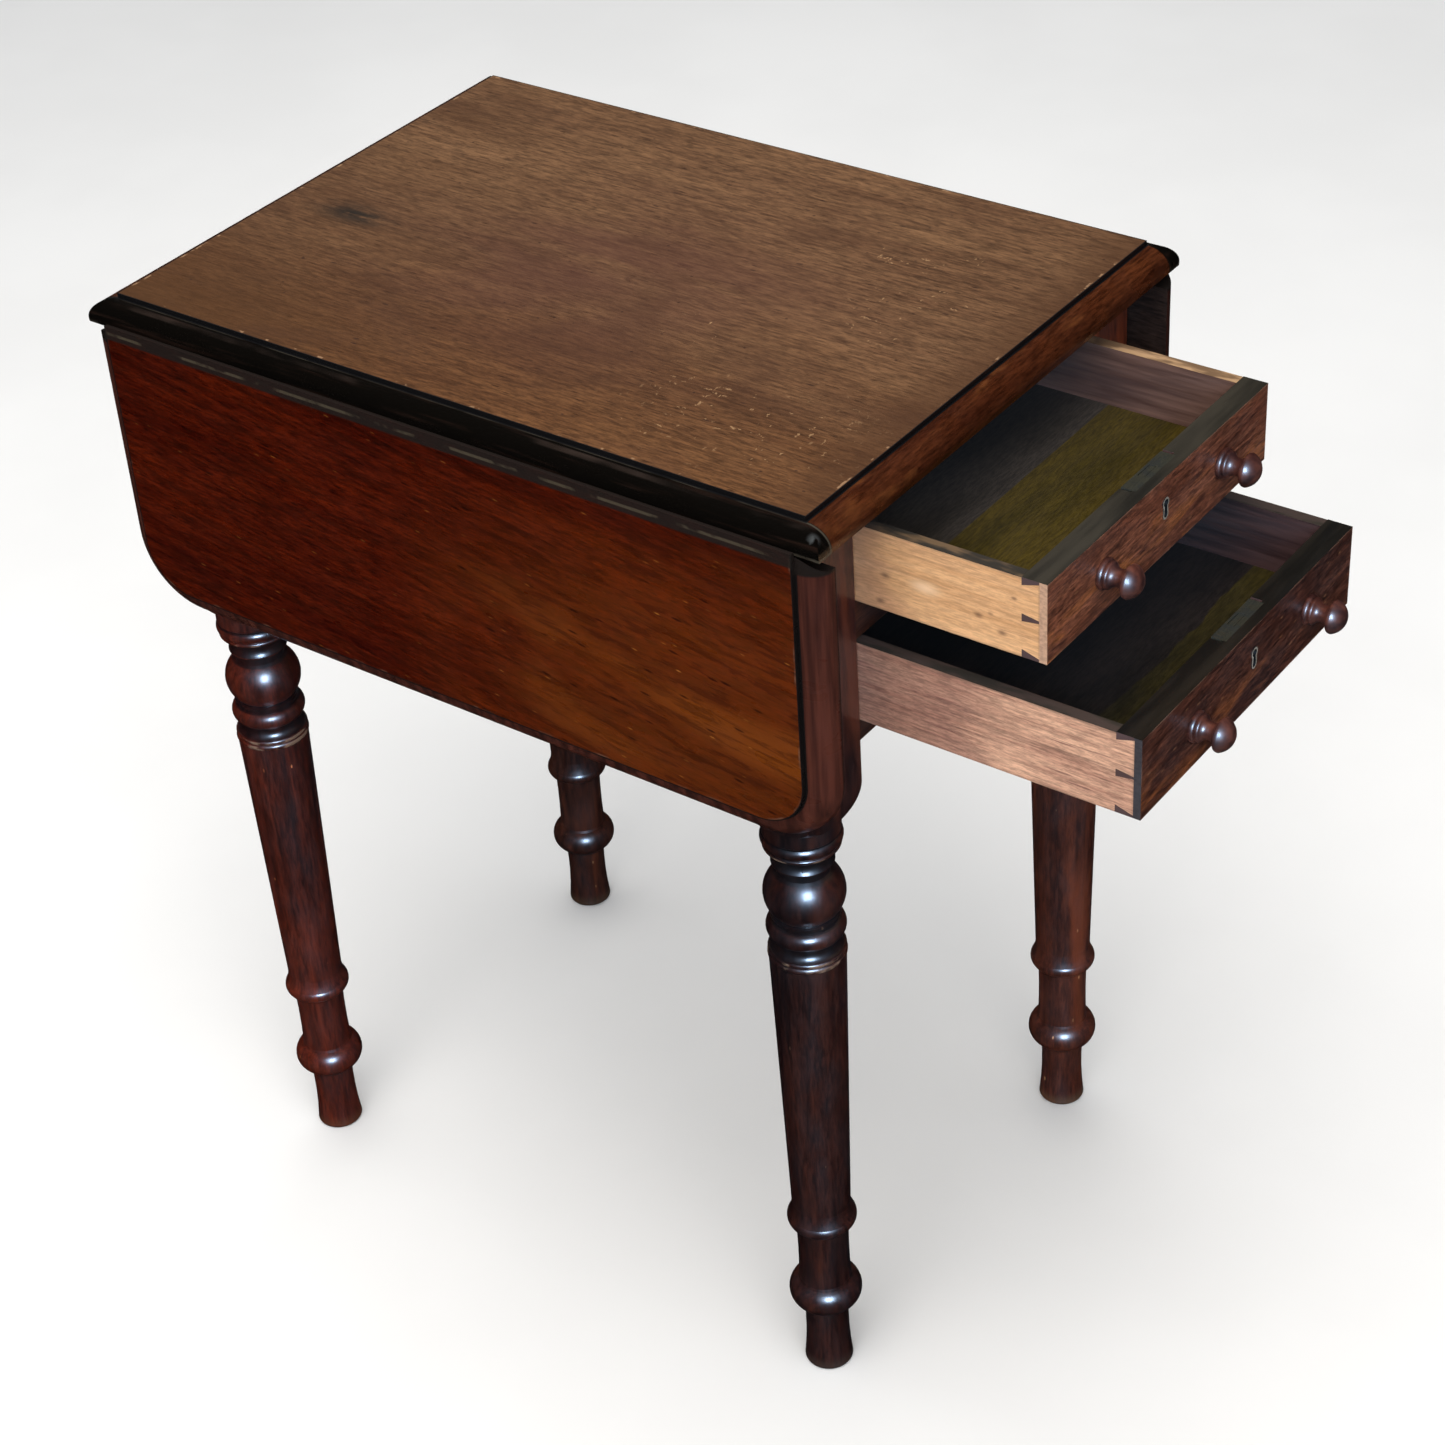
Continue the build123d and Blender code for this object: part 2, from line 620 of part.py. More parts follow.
def keyhole_plane(y, z_middle):
    """The plane that a keyhole is drawn on, seen from the front."""
    return Plane(origin=(LOCK_X, y, z_middle + KEYHOLE_UP), x_dir=(1, 0, 0), z_dir=(0, -1, 0))


def drawer_front(z0, z1, y_front, sides):
    """The drawer front: sockets for the tails, and let-in places for lock, keyhole and knobs."""
    inner = y_front + FRONT_THICK
    middle = (z0 + z1) / 2
    front = block(-DRAWER_HALF_W, DRAWER_HALF_W, y_front, inner, z0, z1)
    for side in sides:
        front -= side
    groove_z = (z0 + BOTTOM_RAISE, z0 + BOTTOM_RAISE + BOTTOM_THICK)
    front -= block(-DRAWER_IN_X, DRAWER_IN_X, inner - GROOVE, inner, *groove_z)
    for (wide, deep, high) in (LOCK_CASE, LOCK_PLATE):
        front -= block(LOCK_X - wide / 2, LOCK_X + wide / 2, inner - deep, inner, z1 - high, z1)
    front -= extrude(keyhole_plane(inner, middle) * keyhole(0.0), amount=FRONT_THICK)
    lining = keyhole_plane(y_front + ESCUTCHEON_DEEP, middle) * keyhole(ESCUTCHEON_WALL)
    front -= extrude(lining, amount=ESCUTCHEON_DEEP)
    for x in KNOB_X:
        front -= rod(KNOB_SHANK_R + FIT, (x, y_front, middle), (x, inner, middle))
    return front


def escutcheon(z_middle, y_front):
    """The thin metal lining of a keyhole, standing slightly proud."""
    plane = keyhole_plane(y_front + ESCUTCHEON_DEEP, z_middle)
    ring = keyhole(ESCUTCHEON_WALL) - keyhole(0.0)
    return extrude(plane * ring, amount=ESCUTCHEON_DEEP + ESCUTCHEON_PROUD)


def lock_case(z0, z1, y_front):
    """The lock's box, open above under its top plate, with the keyhole in its outer wall."""
    inner = y_front + FRONT_THICK
    wide, deep, high = LOCK_CASE
    top = z1 - LOCK_PLATE[2]
    low = z1 - high
    box = block(LOCK_X - wide / 2, LOCK_X + wide / 2, inner - deep, inner, low, top)
    half = wide / 2 - LOCK_WALL
    y0, y1 = inner - deep + LOCK_WALL, inner - LOCK_WALL
    box -= block(LOCK_X - half, LOCK_X + half, y0, y1, low + LOCK_WALL, top)
    opening = keyhole_plane(inner - deep + LOCK_WALL, (z0 + z1) / 2) * keyhole(0.0)
    return box - extrude(opening, amount=LOCK_WALL)


def lock_plate(z1, y_front):
    """The brass plate on the drawer front's top edge, with the bolt's slot."""
    inner = y_front + FRONT_THICK
    wide, deep, thick = LOCK_PLATE
    plate = block(LOCK_X - wide / 2, LOCK_X + wide / 2, inner - deep, inner, z1 - thick, z1)
    half = BOLT_HALF + BOLT_SLACK
    y0, y1 = inner - BOLT_PLACE[1] - BOLT_SLACK, inner - BOLT_PLACE[0] + BOLT_SLACK
    return plate - block(LOCK_X - half, LOCK_X + half, y0, y1, z1 - thick, z1)


def lock_bolt(z1, y_front):
    """The bolt, drawn back level with the plate, with a foot that stops it from leaving."""
    inner = y_front + FRONT_THICK
    foot_half, foot_high = BOLT_FOOT
    y0, y1 = inner - BOLT_PLACE[1], inner - BOLT_PLACE[0]
    top = z1 - BOLT_SUNK
    foot_z = z1 - LOCK_PLATE[2] - BOLT_SLACK - BOLT_RISE - foot_high
    stem = block(LOCK_X - BOLT_HALF, LOCK_X + BOLT_HALF, y0, y1, foot_z, top)
    return stem + block(LOCK_X - foot_half, LOCK_X + foot_half, y0, y1, foot_z, foot_z + foot_high)


def drawer_back(z0, z1, y_front):
    """The drawer's back, between the sides and above the bottom."""
    y1 = y_front + DRAWER_LONG - BACK_INSET
    bottom = z0 + BOTTOM_RAISE + BOTTOM_THICK
    return block(-DRAWER_IN_X, DRAWER_IN_X, y1 - BACK_THIN, y1, bottom, z1 - BACK_INSET)


def drawer_bottom(z0, y_front):
    """The drawer's bottom board, in the grooves of the sides and front, under the back."""
    wide = DRAWER_IN_X + GROOVE
    inner = y_front + FRONT_THICK
    low = z0 + BOTTOM_RAISE
    end = y_front + DRAWER_LONG - BOTTOM_INSET
    board = block(-wide, wide, inner, end, low, low + BOTTOM_THICK)
    return board + block(-DRAWER_IN_X, DRAWER_IN_X, inner - GROOVE, inner, low, low + BOTTOM_THICK)


def knob(x, z, y_front):
    """A turned knob: a beaded base, a neck and a flattened head, on a shank through the front."""
    tail = 0.5 - FRONT_THICK
    outline = Polyline((0, tail), (KNOB_SHANK_R, tail), (KNOB_SHANK_R, 0), (9.6, 0))
    outline += ThreePointArc((9.6, 0), (10.1, 1.6), (9.4, 3.2))
    outline += Line((9.4, 3.2), (8.4, 3.6))
    outline += ThreePointArc((8.4, 3.6), (8.9, 4.9), (8.0, 6.2))
    outline += ThreePointArc((8.0, 6.2), (5.7, 10.2), (6.6, 13.6))
    outline += ThreePointArc((6.6, 13.6), (8.2, 15.2), (10.3, 16.4))
    outline += ThreePointArc((10.3, 16.4), (10.9, 18.0), (10.4, 19.6))
    rim_r, rim_at = 10.4, 19.6
    dome_at = (KNOB_LONG**2 - rim_r**2 - rim_at**2) / (2 * (KNOB_LONG - rim_at))
    rim_angle = degrees(atan2(rim_at - dome_at, rim_r))
    outline += CenterArc((0, dome_at), KNOB_LONG - dome_at, rim_angle, 90 - rim_angle)
    outline += Line((0, KNOB_LONG), (0, tail))
    along = Plane(origin=(x, y_front, z), x_dir=(-1, 0, 0), z_dir=(0, 0, 1))
    return revolve(along * make_face(outline), Axis((x, y_front, z), (0, 1, 0)))


def save_drawer(name, z0, z1, opened):
    """Writes every piece of one drawer, pulled out by the distance given."""
    y_front = FRONT_PLANE - opened
    middle = (z0 + z1) / 2
    sides = {"left": drawer_side(-1, z0, z1, y_front), "right": drawer_side(1, z0, z1, y_front)}
    save(f"{name}_front", drawer_front(z0, z1, y_front, sides.values()))
    for hand, board in sides.items():
        save(f"{name}_side_{hand}", board)
    save(f"{name}_back", drawer_back(z0, z1, y_front))
    save(f"{name}_bottom", drawer_bottom(z0, y_front))
    save(f"{name}_lock_case", lock_case(z0, z1, y_front))
    save(f"{name}_lock_plate", lock_plate(z1, y_front))
    save(f"{name}_lock_bolt", lock_bolt(z1, y_front))
    save(f"{name}_escutcheon", escutcheon(middle, y_front))
    for hand, x in zip(("left", "right"), KNOB_X):
        save(f"{name}_knob_{hand}", knob(x, middle, y_front))


# ---- Writing every node -------------------------------------------------------------------

save("table_top", table_top())
save("top_screws", *top_screws())
for end_name, end in (("front", -1), ("rear", 1)):
    for side_name, side in (("left", -1), ("right", 1)):
        save(f"leg_{end_name}_{side_name}", leg(side, end))

save("front_bottom_rail", front_rail(*BOTTOM_RAIL_Z))
save("drawer_divider", front_rail(LOWER_BAY_TOP, UPPER_BAY_BOTTOM) - bolt_mortise(LOWER_BAY_TOP))
save("front_top_rail", front_rail(UPPER_BAY_TOP, TOP_BOTTOM) - bolt_mortise(UPPER_BAY_TOP))
save("back_panel", back_panel())
save("drawer_stops", *drawer_stops())
save("glue_blocks", *glue_blocks())

RIGHT_HAND_NODES = {
    "leaf": [leaf_right()],
    "leaf_hinge_plates": leaf_hinge_plates(),
    "leaf_hinge_screws": [screw(*face) for face in leaf_screw_faces()],
    "top_hinge_plates": fixed_hinge_plates(),
    "top_hinge_screws": [screw(*face) for face in fixed_screw_faces()],
    "hinge_pins": hinge_pins_right(),
    "side_rail": [inner_rail_right()],
    "fly_rail": fly_rail_right(),
    "fly_bracket": [fly_bracket_right()],
    "fly_bracket_pin": [bracket_pin_right()],
    "upper_runner": [runner_right(UPPER_BAY_BOTTOM)],
    "lower_runner": [runner_right(BOTTOM_RAIL_Z[1])],
    "kicker": [kicker_right()],
}
for name, shapes in RIGHT_HAND_NODES.items():
    save(f"{name}_right", *shapes)
    save(f"{name}_left", *[other_side(shape) for shape in shapes])

save_drawer("upper_drawer", *UPPER_DRAWER_Z, UPPER_OPEN)
save_drawer("lower_drawer", *LOWER_DRAWER_Z, LOWER_OPEN)
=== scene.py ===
"""The looks of an old drop-leaf sewing table: its woods, metals and wear, with light, floor and camera.

Metres, +Z up, the drawers' fronts face -Y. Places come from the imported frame's own boxes. The marks
of age, the lights and the camera are placed in that frame: its origin is on the floor, under the
middle of the whole table.
"""

import math

import bpy
from mathutils import Matrix, Vector


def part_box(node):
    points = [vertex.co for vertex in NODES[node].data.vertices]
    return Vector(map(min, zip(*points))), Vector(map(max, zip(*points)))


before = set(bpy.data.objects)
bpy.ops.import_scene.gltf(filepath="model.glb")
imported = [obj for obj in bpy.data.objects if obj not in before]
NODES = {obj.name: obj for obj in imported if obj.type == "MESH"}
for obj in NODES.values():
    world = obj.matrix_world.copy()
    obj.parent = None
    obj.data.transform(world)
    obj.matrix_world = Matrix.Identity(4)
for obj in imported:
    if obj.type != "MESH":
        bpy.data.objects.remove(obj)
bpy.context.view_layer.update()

AXES = "XYZ"

# ---- Sizes of the mouldings, which the materials follow --------------------------------------

STEP = 0.0032  # height of the step round a flat
THUMB = 0.017  # reach of the moulding on the top's ends and the leaves' free edges
RULE_JOINT = 0.013  # reach of the moulding on the top's sides
LEAF_CORNER = 0.035  # radius of the flat's lower corners on a leaf
LAP = 0.005  # thickness of a drawer front ahead of its dovetails

TOP_LOW, TOP_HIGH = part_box("table_top")
FLAT_X = TOP_HIGH.x - RULE_JOINT
FLAT_FRONT = TOP_LOW.y + THUMB
FLAT_REAR = TOP_HIGH.y - THUMB
FACE_Z = TOP_HIGH.z
LEAF_GRAIN_TILT = math.radians(-8.0)

# ---- Marks of age: where they are, and how far they reach ---------------------------------------

INK_STAIN, INK_STAIN_REACH = (-0.030, 0.306), (0.020, 0.048)
WORN_FRONT, WORN_FRONT_REACH = (-0.120, -0.080), (0.110, 0.170)
MARKED_SIDE = "upper_drawer_side_left"
PALE_SPOT, PALE_SPOT_REACH = (-0.2136, 0.6603), (0.016, 0.007)
KNOTS, KNOT_REACH = ((-0.250, 0.654), (-0.266, 0.647), (-0.186, 0.660), (-0.182, 0.641)), (0.0050, 0.0028)
WORN_SPOTS = (  # x, y and reach, on the top's face
    (0.094, -0.052, 0.030), (0.112, -0.085, 0.028), (0.063, -0.108, 0.022), (0.040, -0.078, 0.030),
    (-0.046, 0.006, 0.028), (-0.154, -0.029, 0.024), (0.009, -0.092, 0.030), (-0.147, -0.111, 0.026),
)


# ---- Building a material's nodes ---------------------------------------------------------------


class Graph:
    """Short calls that build one material. Its place is the object's own, so it moves with it."""

    def __init__(self, name):
        self.material = bpy.data.materials.new(name)
        self.material.use_nodes = True
        self.tree = self.material.node_tree
        self.tree.nodes.clear()
        coordinates = self.node("ShaderNodeTexCoord")
        self.place = coordinates.outputs["Object"]
        self.x, self.y, self.z = self.split(self.place)
        self.nx, self.ny, self.nz = self.split(coordinates.outputs["Normal"])

    def node(self, kind, inputs=None, **settings):
        made = self.tree.nodes.new(kind)
        for name, value in settings.items():
            setattr(made, name, value)
        for key, value in (inputs or {}).items():
            self.put(made.inputs[key], value)
        return made

    def put(self, socket, value):
        if isinstance(value, bpy.types.NodeSocket):
            self.tree.links.new(value, socket)
        elif socket.type == "RGBA":
            socket.default_value = (*value[:3], 1.0)
        else:
            socket.default_value = value

    def split(self, vector):
        return self.node("ShaderNodeSeparateXYZ", {0: vector}).outputs

    def math(self, operation, a, b=0.0, clamp=False):
        return self.node("ShaderNodeMath", {0: a, 1: b}, operation=operation, use_clamp=clamp).outputs[0]

    def add(self, a, b):
        return self.math("ADD", a, b)

    def times(self, a, b):
        return self.math("MULTIPLY", a, b)

    def less(self, a, b):
        return self.math("SUBTRACT", a, b)

    def low(self, a, b):
        return self.math("MINIMUM", a, b)

    def high(self, a, b):
        return self.math("MAXIMUM", a, b)

    def size(self, a):
        return self.math("ABSOLUTE", a)

    def flip(self, a):
        return self.math("SUBTRACT", 1.0, a, clamp=True)

    def ramp(self, value, start, end, low=0.0, high=1.0):
        """A smooth change from low to high while value goes from start to end."""
        inputs = {"Value": value, "From Min": start, "From Max": end, "To Min": low, "To Max": high}
        return self.node("ShaderNodeMapRange", inputs, interpolation_type="SMOOTHSTEP").outputs[0]

    def band(self, value, start, end, soft):
        """1 while value is between start and end, with soft borders."""
        rising = self.ramp(value, start - soft, start)
        return self.times(rising, self.ramp(value, end + soft, end))

    def near(self, point, radii):
        """1 at a point, falling to 0 at an ellipse round it."""
        inputs = {0: self.place, 1: point}
        offset = self.node("ShaderNodeVectorMath", inputs, operation="SUBTRACT").outputs[0]
        scaled = self.node("ShaderNodeVectorMath", {0: offset, 1: radii}, operation="DIVIDE").outputs[0]
        length = self.node("ShaderNodeVectorMath", {0: scaled}, operation="LENGTH").outputs["Value"]
        return self.ramp(length, 1.0, 0.0)

    def mix(self, share, a, b, blend="MIX"):
        """Colour a, with a share of colour b."""
        made = self.node("ShaderNodeMix", {0: share, 6: a, 7: b}, data_type="RGBA", blend_type=blend)
        return made.outputs[2]

    def drawn(self, axis, along, across, seed, tilt=0.0):
        """The place, scaled so that one unit is a wave along the grain or across it."""
        scale = [across] * 3
        scale[AXES.index(axis)] = along
        inputs = {"Vector": self.place, "Rotation": (tilt, 0.0, 0.0)}
        turned = self.node("ShaderNodeMapping", inputs).outputs[0]
        inputs = {"Vector": turned, "Scale": scale, "Location": (seed * 7.31, seed * 3.17, seed * 5.73)}
        return self.node("ShaderNodeMapping", inputs).outputs[0]

    def grain(self, axis, along, across, seed, detail=3.0, rough=0.55, bend=0.0, tilt=0.0):
        """Noise drawn out along the grain, from 0 to 1. along and across are waves per metre."""
        inputs = {
            "Vector": self.drawn(axis, along, across, seed, tilt),
            "Scale": 1.0,
            "Detail": detail,
            "Roughness": rough,
            "Distortion": bend,
        }
        return self.node("ShaderNodeTexNoise", inputs).outputs[0]

    def dashes(self, axis, length, width, share, seed, tilt=0.0, ragged=0.0):
        """Short separate marks along the grain, in a share of the places where one could be."""
        reach = 0.2
        vector = self.drawn(axis, 2 * reach / length, 2 * reach / width, seed, tilt)
        if ragged:
            shake = self.node("ShaderNodeTexNoise", {"Vector": self.place, "Scale": 350.0, "Detail": 1.0})
            inputs = {0: shake.outputs["Color"], 1: (ragged, ragged, ragged), 2: vector}
            vector = self.node("ShaderNodeVectorMath", inputs, operation="MULTIPLY_ADD").outputs[0]
        cells = self.node("ShaderNodeTexVoronoi", {"Vector": vector, "Scale": 1.0})
        chosen = self.ramp(self.split(cells.outputs["Color"])[0], 1.0 - share, 1.02 - share)
        return self.times(self.ramp(cells.outputs["Distance"], reach, 0.4 * reach), chosen)

    def gritty(self, colour, axis, seed, share=0.6):
        """Colour made darker and lighter by fine specks, as open grain is."""
        specks = self.ramp(self.grain(axis, 110.0, 750.0, seed, rough=0.7), 0.32, 0.68, 0.40, 1.55)
        return self.mix(share, colour, specks, "MULTIPLY")

    def bump(self, height, distance, strength=1.0, normal=None):
        inputs = {"Height": height, "Distance": distance, "Strength": strength}
        if normal is not None:
            inputs["Normal"] = normal
        return self.node("ShaderNodeBump", inputs).outputs[0]

    def finish(self, colour, rough, normal=None, **constants):
        """The shader. constants are numbers set on its own sockets, by name with _ for a space."""
        shader = self.node("ShaderNodeBsdfPrincipled", {"Base Color": colour, "Roughness": rough})
        for name, value in constants.items():
            shader.inputs[name.replace("_", " ")].default_value = value
        if normal is not None:
            self.put(shader.inputs["Normal"], normal)
        self.node("ShaderNodeOutputMaterial", {"Surface": shader.outputs[0]})
        return self.material


def board_edge(g, node):
    """How far a point on a board's surface is from the board's nearest arris, in metres."""
    low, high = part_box(node)
    gaps = [g.low(g.less(c, low[i]), g.less(high[i], c)) for i, c in enumerate((g.x, g.y, g.z))]
    a, b, c = gaps
    return g.high(g.low(a, b), g.low(g.high(a, b), c))


def round_box(g, u, v, centre, half, radius):
    """Distance outside a rounded rectangle in the u, v plane, negative inside."""
    far = [g.less(g.size(g.less(w, centre[i])), half[i] - radius) for i, w in enumerate((u, v))]
    outside = [g.high(f, 0.0) for f in far]
    length = g.math("SQRT", g.add(g.times(outside[0], outside[0]), g.times(outside[1], outside[1])))
    inside = g.low(g.high(far[0], far[1]), 0.0)
    return g.less(g.add(length, inside), radius)


# ---- Woods -------------------------------------------------------------------------------------


def mahogany(g, axis, dark, light, seed, tilt=0.0, pores=0.55):
    """Polished mahogany: slow clouds, streaks and short dark pores. Returns colour and height."""
    clouds = g.grain(axis, 2.5, 14.0, seed, bend=0.6, tilt=tilt)
    streaks = g.grain(axis, 9.0, 150.0, seed + 1, detail=4.0, rough=0.6, bend=0.3, tilt=tilt)
    fine = g.grain(axis, 55.0, 420.0, seed + 2, detail=3.0, rough=0.65, tilt=tilt)
    tone = g.add(g.times(g.ramp(clouds, 0.3, 0.7), 0.5), g.times(g.ramp(streaks, 0.3, 0.7), 0.5))
    colour = g.mix(tone, dark, light)
    colour = g.mix(g.ramp(fine, 0.42, 0.68, 0.0, 0.6), colour, [0.4 * c for c in dark])
    colour = g.gritty(colour, axis, seed + 4, 0.5)
    pore = g.dashes(axis, 0.008, 0.0015, pores, seed + 3, tilt)
    colour = g.mix(g.times(pore, 0.65), colour, [0.3 * c for c in dark])
    height = g.less(g.add(g.times(streaks, 0.4), g.times(fine, 0.6)), pore)
    return colour, height


def top_face(g):
    """The top's flat: satin brown, purple-brown in the middle, with a stain, and darker at two edges and
    at its rear left corner by painted shade.
    """
    colour, height = mahogany(g, "Y", (0.072, 0.031, 0.0145), (0.132, 0.063, 0.029), 3, pores=0.5)
    # Painted shade, partly the wood's own tone: darker and warmer towards the left, lighter towards the
    # right.
    drift = g.times(g.less(g.grain("Y", 3.0, 8.0, 2, bend=1.0), 0.5), 0.15)
    across = g.ramp(g.add(g.x, drift), -0.20, 0.0)
    shade_and_tone = g.mix(across, (0.90, 0.80, 0.60), (1.14, 1.22, 1.22))
    colour = g.mix(1.0, colour, shade_and_tone, "MULTIPLY")
    # Painted shade: darker towards the front of the flat.
    drift = g.times(g.grain("X", 12.0, 12.0, 38), 0.03)
    near_front = g.ramp(g.add(g.y, drift), FLAT_FRONT + 0.060, FLAT_FRONT + 0.015)
    colour = g.mix(g.times(near_front, 0.65), colour, (0.055, 0.023, 0.0095))
    # Painted shade: darker at the rear left corner.
    rear_left = g.near((TOP_LOW.x, FLAT_REAR, FACE_Z), (0.14, 0.30, 1.0))
    colour = g.mix(g.times(rear_left, 0.8), colour, (0.058, 0.024, 0.0075))
    middle = (FLAT_X * -0.1, (FLAT_FRONT + FLAT_REAR) / 2, FACE_Z)
    haze = g.near(middle, (0.20, 0.24, 1.0))
    drift = g.ramp(g.grain("Y", 3.0, 9.0, 5, bend=1.0), 0.35, 0.7)
    colour = g.mix(g.times(g.times(haze, drift), 0.75), colour, (0.068, 0.026, 0.017))
    patch = g.ramp(g.grain("Y", 7.0, 13.0, 18, detail=5.0, rough=0.6, bend=1.0), 0.50, 0.72)
    colour = g.mix(g.times(patch, 0.45), colour, (0.052, 0.022, 0.011))
    rear = g.times(g.ramp(g.y, 0.1, 0.36), g.ramp(g.grain("Y", 4.0, 12.0, 6, bend=1.0), 0.3, 0.65))
    colour = g.mix(g.times(rear, 0.4), colour, (0.058, 0.025, 0.010))
    stain = g.near((*INK_STAIN, FACE_Z), (*INK_STAIN_REACH, 1.0))
    blot = g.ramp(g.grain("Y", 45.0, 120.0, 7, detail=4.0), 0.35, 0.55)
    colour = g.mix(g.times(g.times(stain, blot), 0.95), colour, (0.012, 0.010, 0.008))
    specks = g.high(g.dashes("Y", 0.007, 0.0022, 0.10, 8), g.dashes("Y", 0.003, 0.0022, 0.06, 17))
    return g.mix(g.times(specks, 0.7), colour, (0.022, 0.010, 0.007)), height


def top_nicks(g):
    """1 on the short nicks in the top's face, which lie thick round its worn spots."""
    worn = g.near((*WORN_FRONT, FACE_Z), (*WORN_FRONT_REACH, 1.0))
    worn = g.times(worn, 0.5)
    for x, y, reach in WORN_SPOTS:
        worn = g.high(worn, g.near((x, y, FACE_Z), (reach, 1.4 * reach, 1.0)))
    along = g.dashes("Y", 0.0075, 0.0021, 0.60, 9, ragged=0.9)
    across = g.dashes("X", 0.0050, 0.0019, 0.45, 10, ragged=0.9)
    return g.times(g.high(along, across), g.ramp(worn, 0.10, 0.55))


def rule_moulding(g, aside):
    """The black moulding along the top's sides, lighter on its round and at its rims: partly rubbed,
    partly painted highlights.
    """
    dark, light = (0.0025, 0.0020, 0.0016), (0.014, 0.007, 0.005)
    ebony = g.mix(g.ramp(g.grain("Y", 12.0, 260.0, 11), 0.5, 0.8), dark, light)
    # Painted highlight along the round, partly real rubbing.
    rubbed = g.band(aside, 0.0040, 0.0060, 0.0012)
    rubbed = g.times(rubbed, g.ramp(g.grain("Y", 10.0, 30.0, 12), 0.45, 0.7))
    ebony = g.mix(rubbed, ebony, (0.030, 0.020, 0.016))
    # Painted highlight along the step's outer arris, and real wear along the bottom arris.
    under = g.ramp(g.z, TOP_LOW.z + 0.0024, TOP_LOW.z + 0.0012)
    rim_glint_and_wear = g.high(g.band(aside, 0.0006, 0.0013, 0.0006), under)
    rim_glint_and_wear = g.times(rim_glint_and_wear, g.ramp(g.grain("Y", 25.0, 25.0, 19), 0.35, 0.6))
    return g.mix(rim_glint_and_wear, ebony, (0.042, 0.036, 0.027))


def thumb_moulding(g):
    """The red-brown moulding along the top's ends."""
    colour, _ = mahogany(g, "X", (0.026, 0.0055, 0.002), (0.070, 0.019, 0.006), 13, pores=0.3)
    flame = g.ramp(g.grain("X", 16.0, 60.0, 16, bend=1.0), 0.55, 0.75)
    return g.mix(g.times(flame, 0.6), colour, (0.120, 0.038, 0.010))


def top_material():
    """The worn top: its face, its mouldings, the black step round the face and the bare arrises."""
    g = Graph("worn_top")
    colour, height = top_face(g)
    nicks = top_nicks(g)
    colour = g.mix(g.times(nicks, 0.75), colour, (0.30, 0.175, 0.085))

    aside = g.less(g.size(g.x), FLAT_X)
    ahead = g.high(g.less(FLAT_FRONT, g.y), g.less(g.y, FLAT_REAR))
    beyond = g.high(aside, ahead)
    on_side = g.ramp(aside, -0.0006, 0.0002)
    on_end = g.times(g.ramp(ahead, -0.0006, 0.0002), g.flip(g.ramp(aside, 0.0125, 0.0132)))
    colour = g.mix(on_end, colour, thumb_moulding(g))
    colour = g.mix(on_side, colour, rule_moulding(g, aside))
    step = g.times(g.ramp(beyond, -0.0010, -0.0002), g.ramp(beyond, 0.0016, 0.0008))
    colour = g.mix(step, colour, (0.006, 0.006, 0.007))
    on_face = g.ramp(g.less(FACE_Z, g.z), 0.0006, 0.0)
    arris = g.times(g.band(beyond, -0.0022, -0.0012, 0.0006), on_face)
    chipped = g.ramp(g.grain("Y", 90.0, 90.0, 14), 0.58, 0.66)
    colour = g.mix(g.times(g.times(arris, chipped), 0.8), colour, (0.26, 0.15, 0.08))

    near_corner = (TOP_LOW.x + 0.004, TOP_LOW.y + 0.006, TOP_LOW.z + 0.012)
    corner = g.near(near_corner, (0.0055, 0.0055, 0.006))
    bare = g.times(corner, g.ramp(g.grain("Y", 130.0, 130.0, 37), 0.42, 0.56))
    colour = g.mix(g.times(bare, 0.4), colour, (0.11, 0.12, 0.125))

    rough = g.ramp(g.grain("Y", 20.0, 60.0, 15), 0.3, 0.7, 0.36, 0.50)
    rough = g.less(rough, g.times(g.high(on_side, on_end), 0.12))
    normal = g.bump(g.less(height, nicks), 0.00015, 0.8)
    return g.finish(colour, rough, normal, Specular_IOR_Level=0.30)


def leaf_face(g, side, outer):
    """A leaf's flat: dark red-brown, made orange-brown and brightly rippled in front by painted light."""
    tilt = LEAF_GRAIN_TILT
    colour, height = mahogany(g, "Y", (0.030, 0.0017, 0.0002), (0.080, 0.0074, 0.0005), 20 + side, tilt)
    light = g.ramp(g.grain("Y", 3.0, 10.0, 23, bend=0.8, tilt=tilt), 0.35, 0.65)
    # Painted light: orange-brown towards the front and the bottom, where light falls on the leaf.
    front = g.times(g.ramp(g.y, 0.16, -0.10), g.ramp(g.z, 0.72, 0.62))
    colour = g.mix(g.times(front, g.ramp(light, 0.0, 1.0, 0.35, 0.9)), colour, (0.150, 0.036, 0.0036))
    long, short = g.dashes("Y", 0.012, 0.0022, 0.5, 24, tilt), g.dashes("Y", 0.007, 0.0018, 0.4, 33, tilt)
    ripple = g.times(g.high(long, short), g.ramp(g.grain("Y", 16.0, 30.0, 32), 0.35, 0.55))
    figure = g.ramp(g.grain("Y", 22.0, 170.0, 35, detail=5.0, rough=0.7, bend=0.6, tilt=tilt), 0.46, 0.62)
    colour = g.mix(g.times(figure, 0.5), colour, (0.018, 0.0026, 0.0006))
    # Painted light: the ripple figure shown brightest round one spot in front, as a pool of light.
    ripple_in_painted_light = g.times(ripple, g.high(g.near((side * outer, -0.11, 0.59), (1.0, 0.19, 0.14)), 0.30))
    colour = g.mix(g.times(ripple_in_painted_light, 0.85), colour, (0.42, 0.150, 0.024))
    long, short = g.dashes("Y", 0.011, 0.0024, 0.4, 31, tilt), g.dashes("Y", 0.006, 0.0020, 0.3, 34, tilt)
    return g.mix(g.times(g.high(long, short), 0.8), colour, (0.010, 0.0016, 0.0006)), height


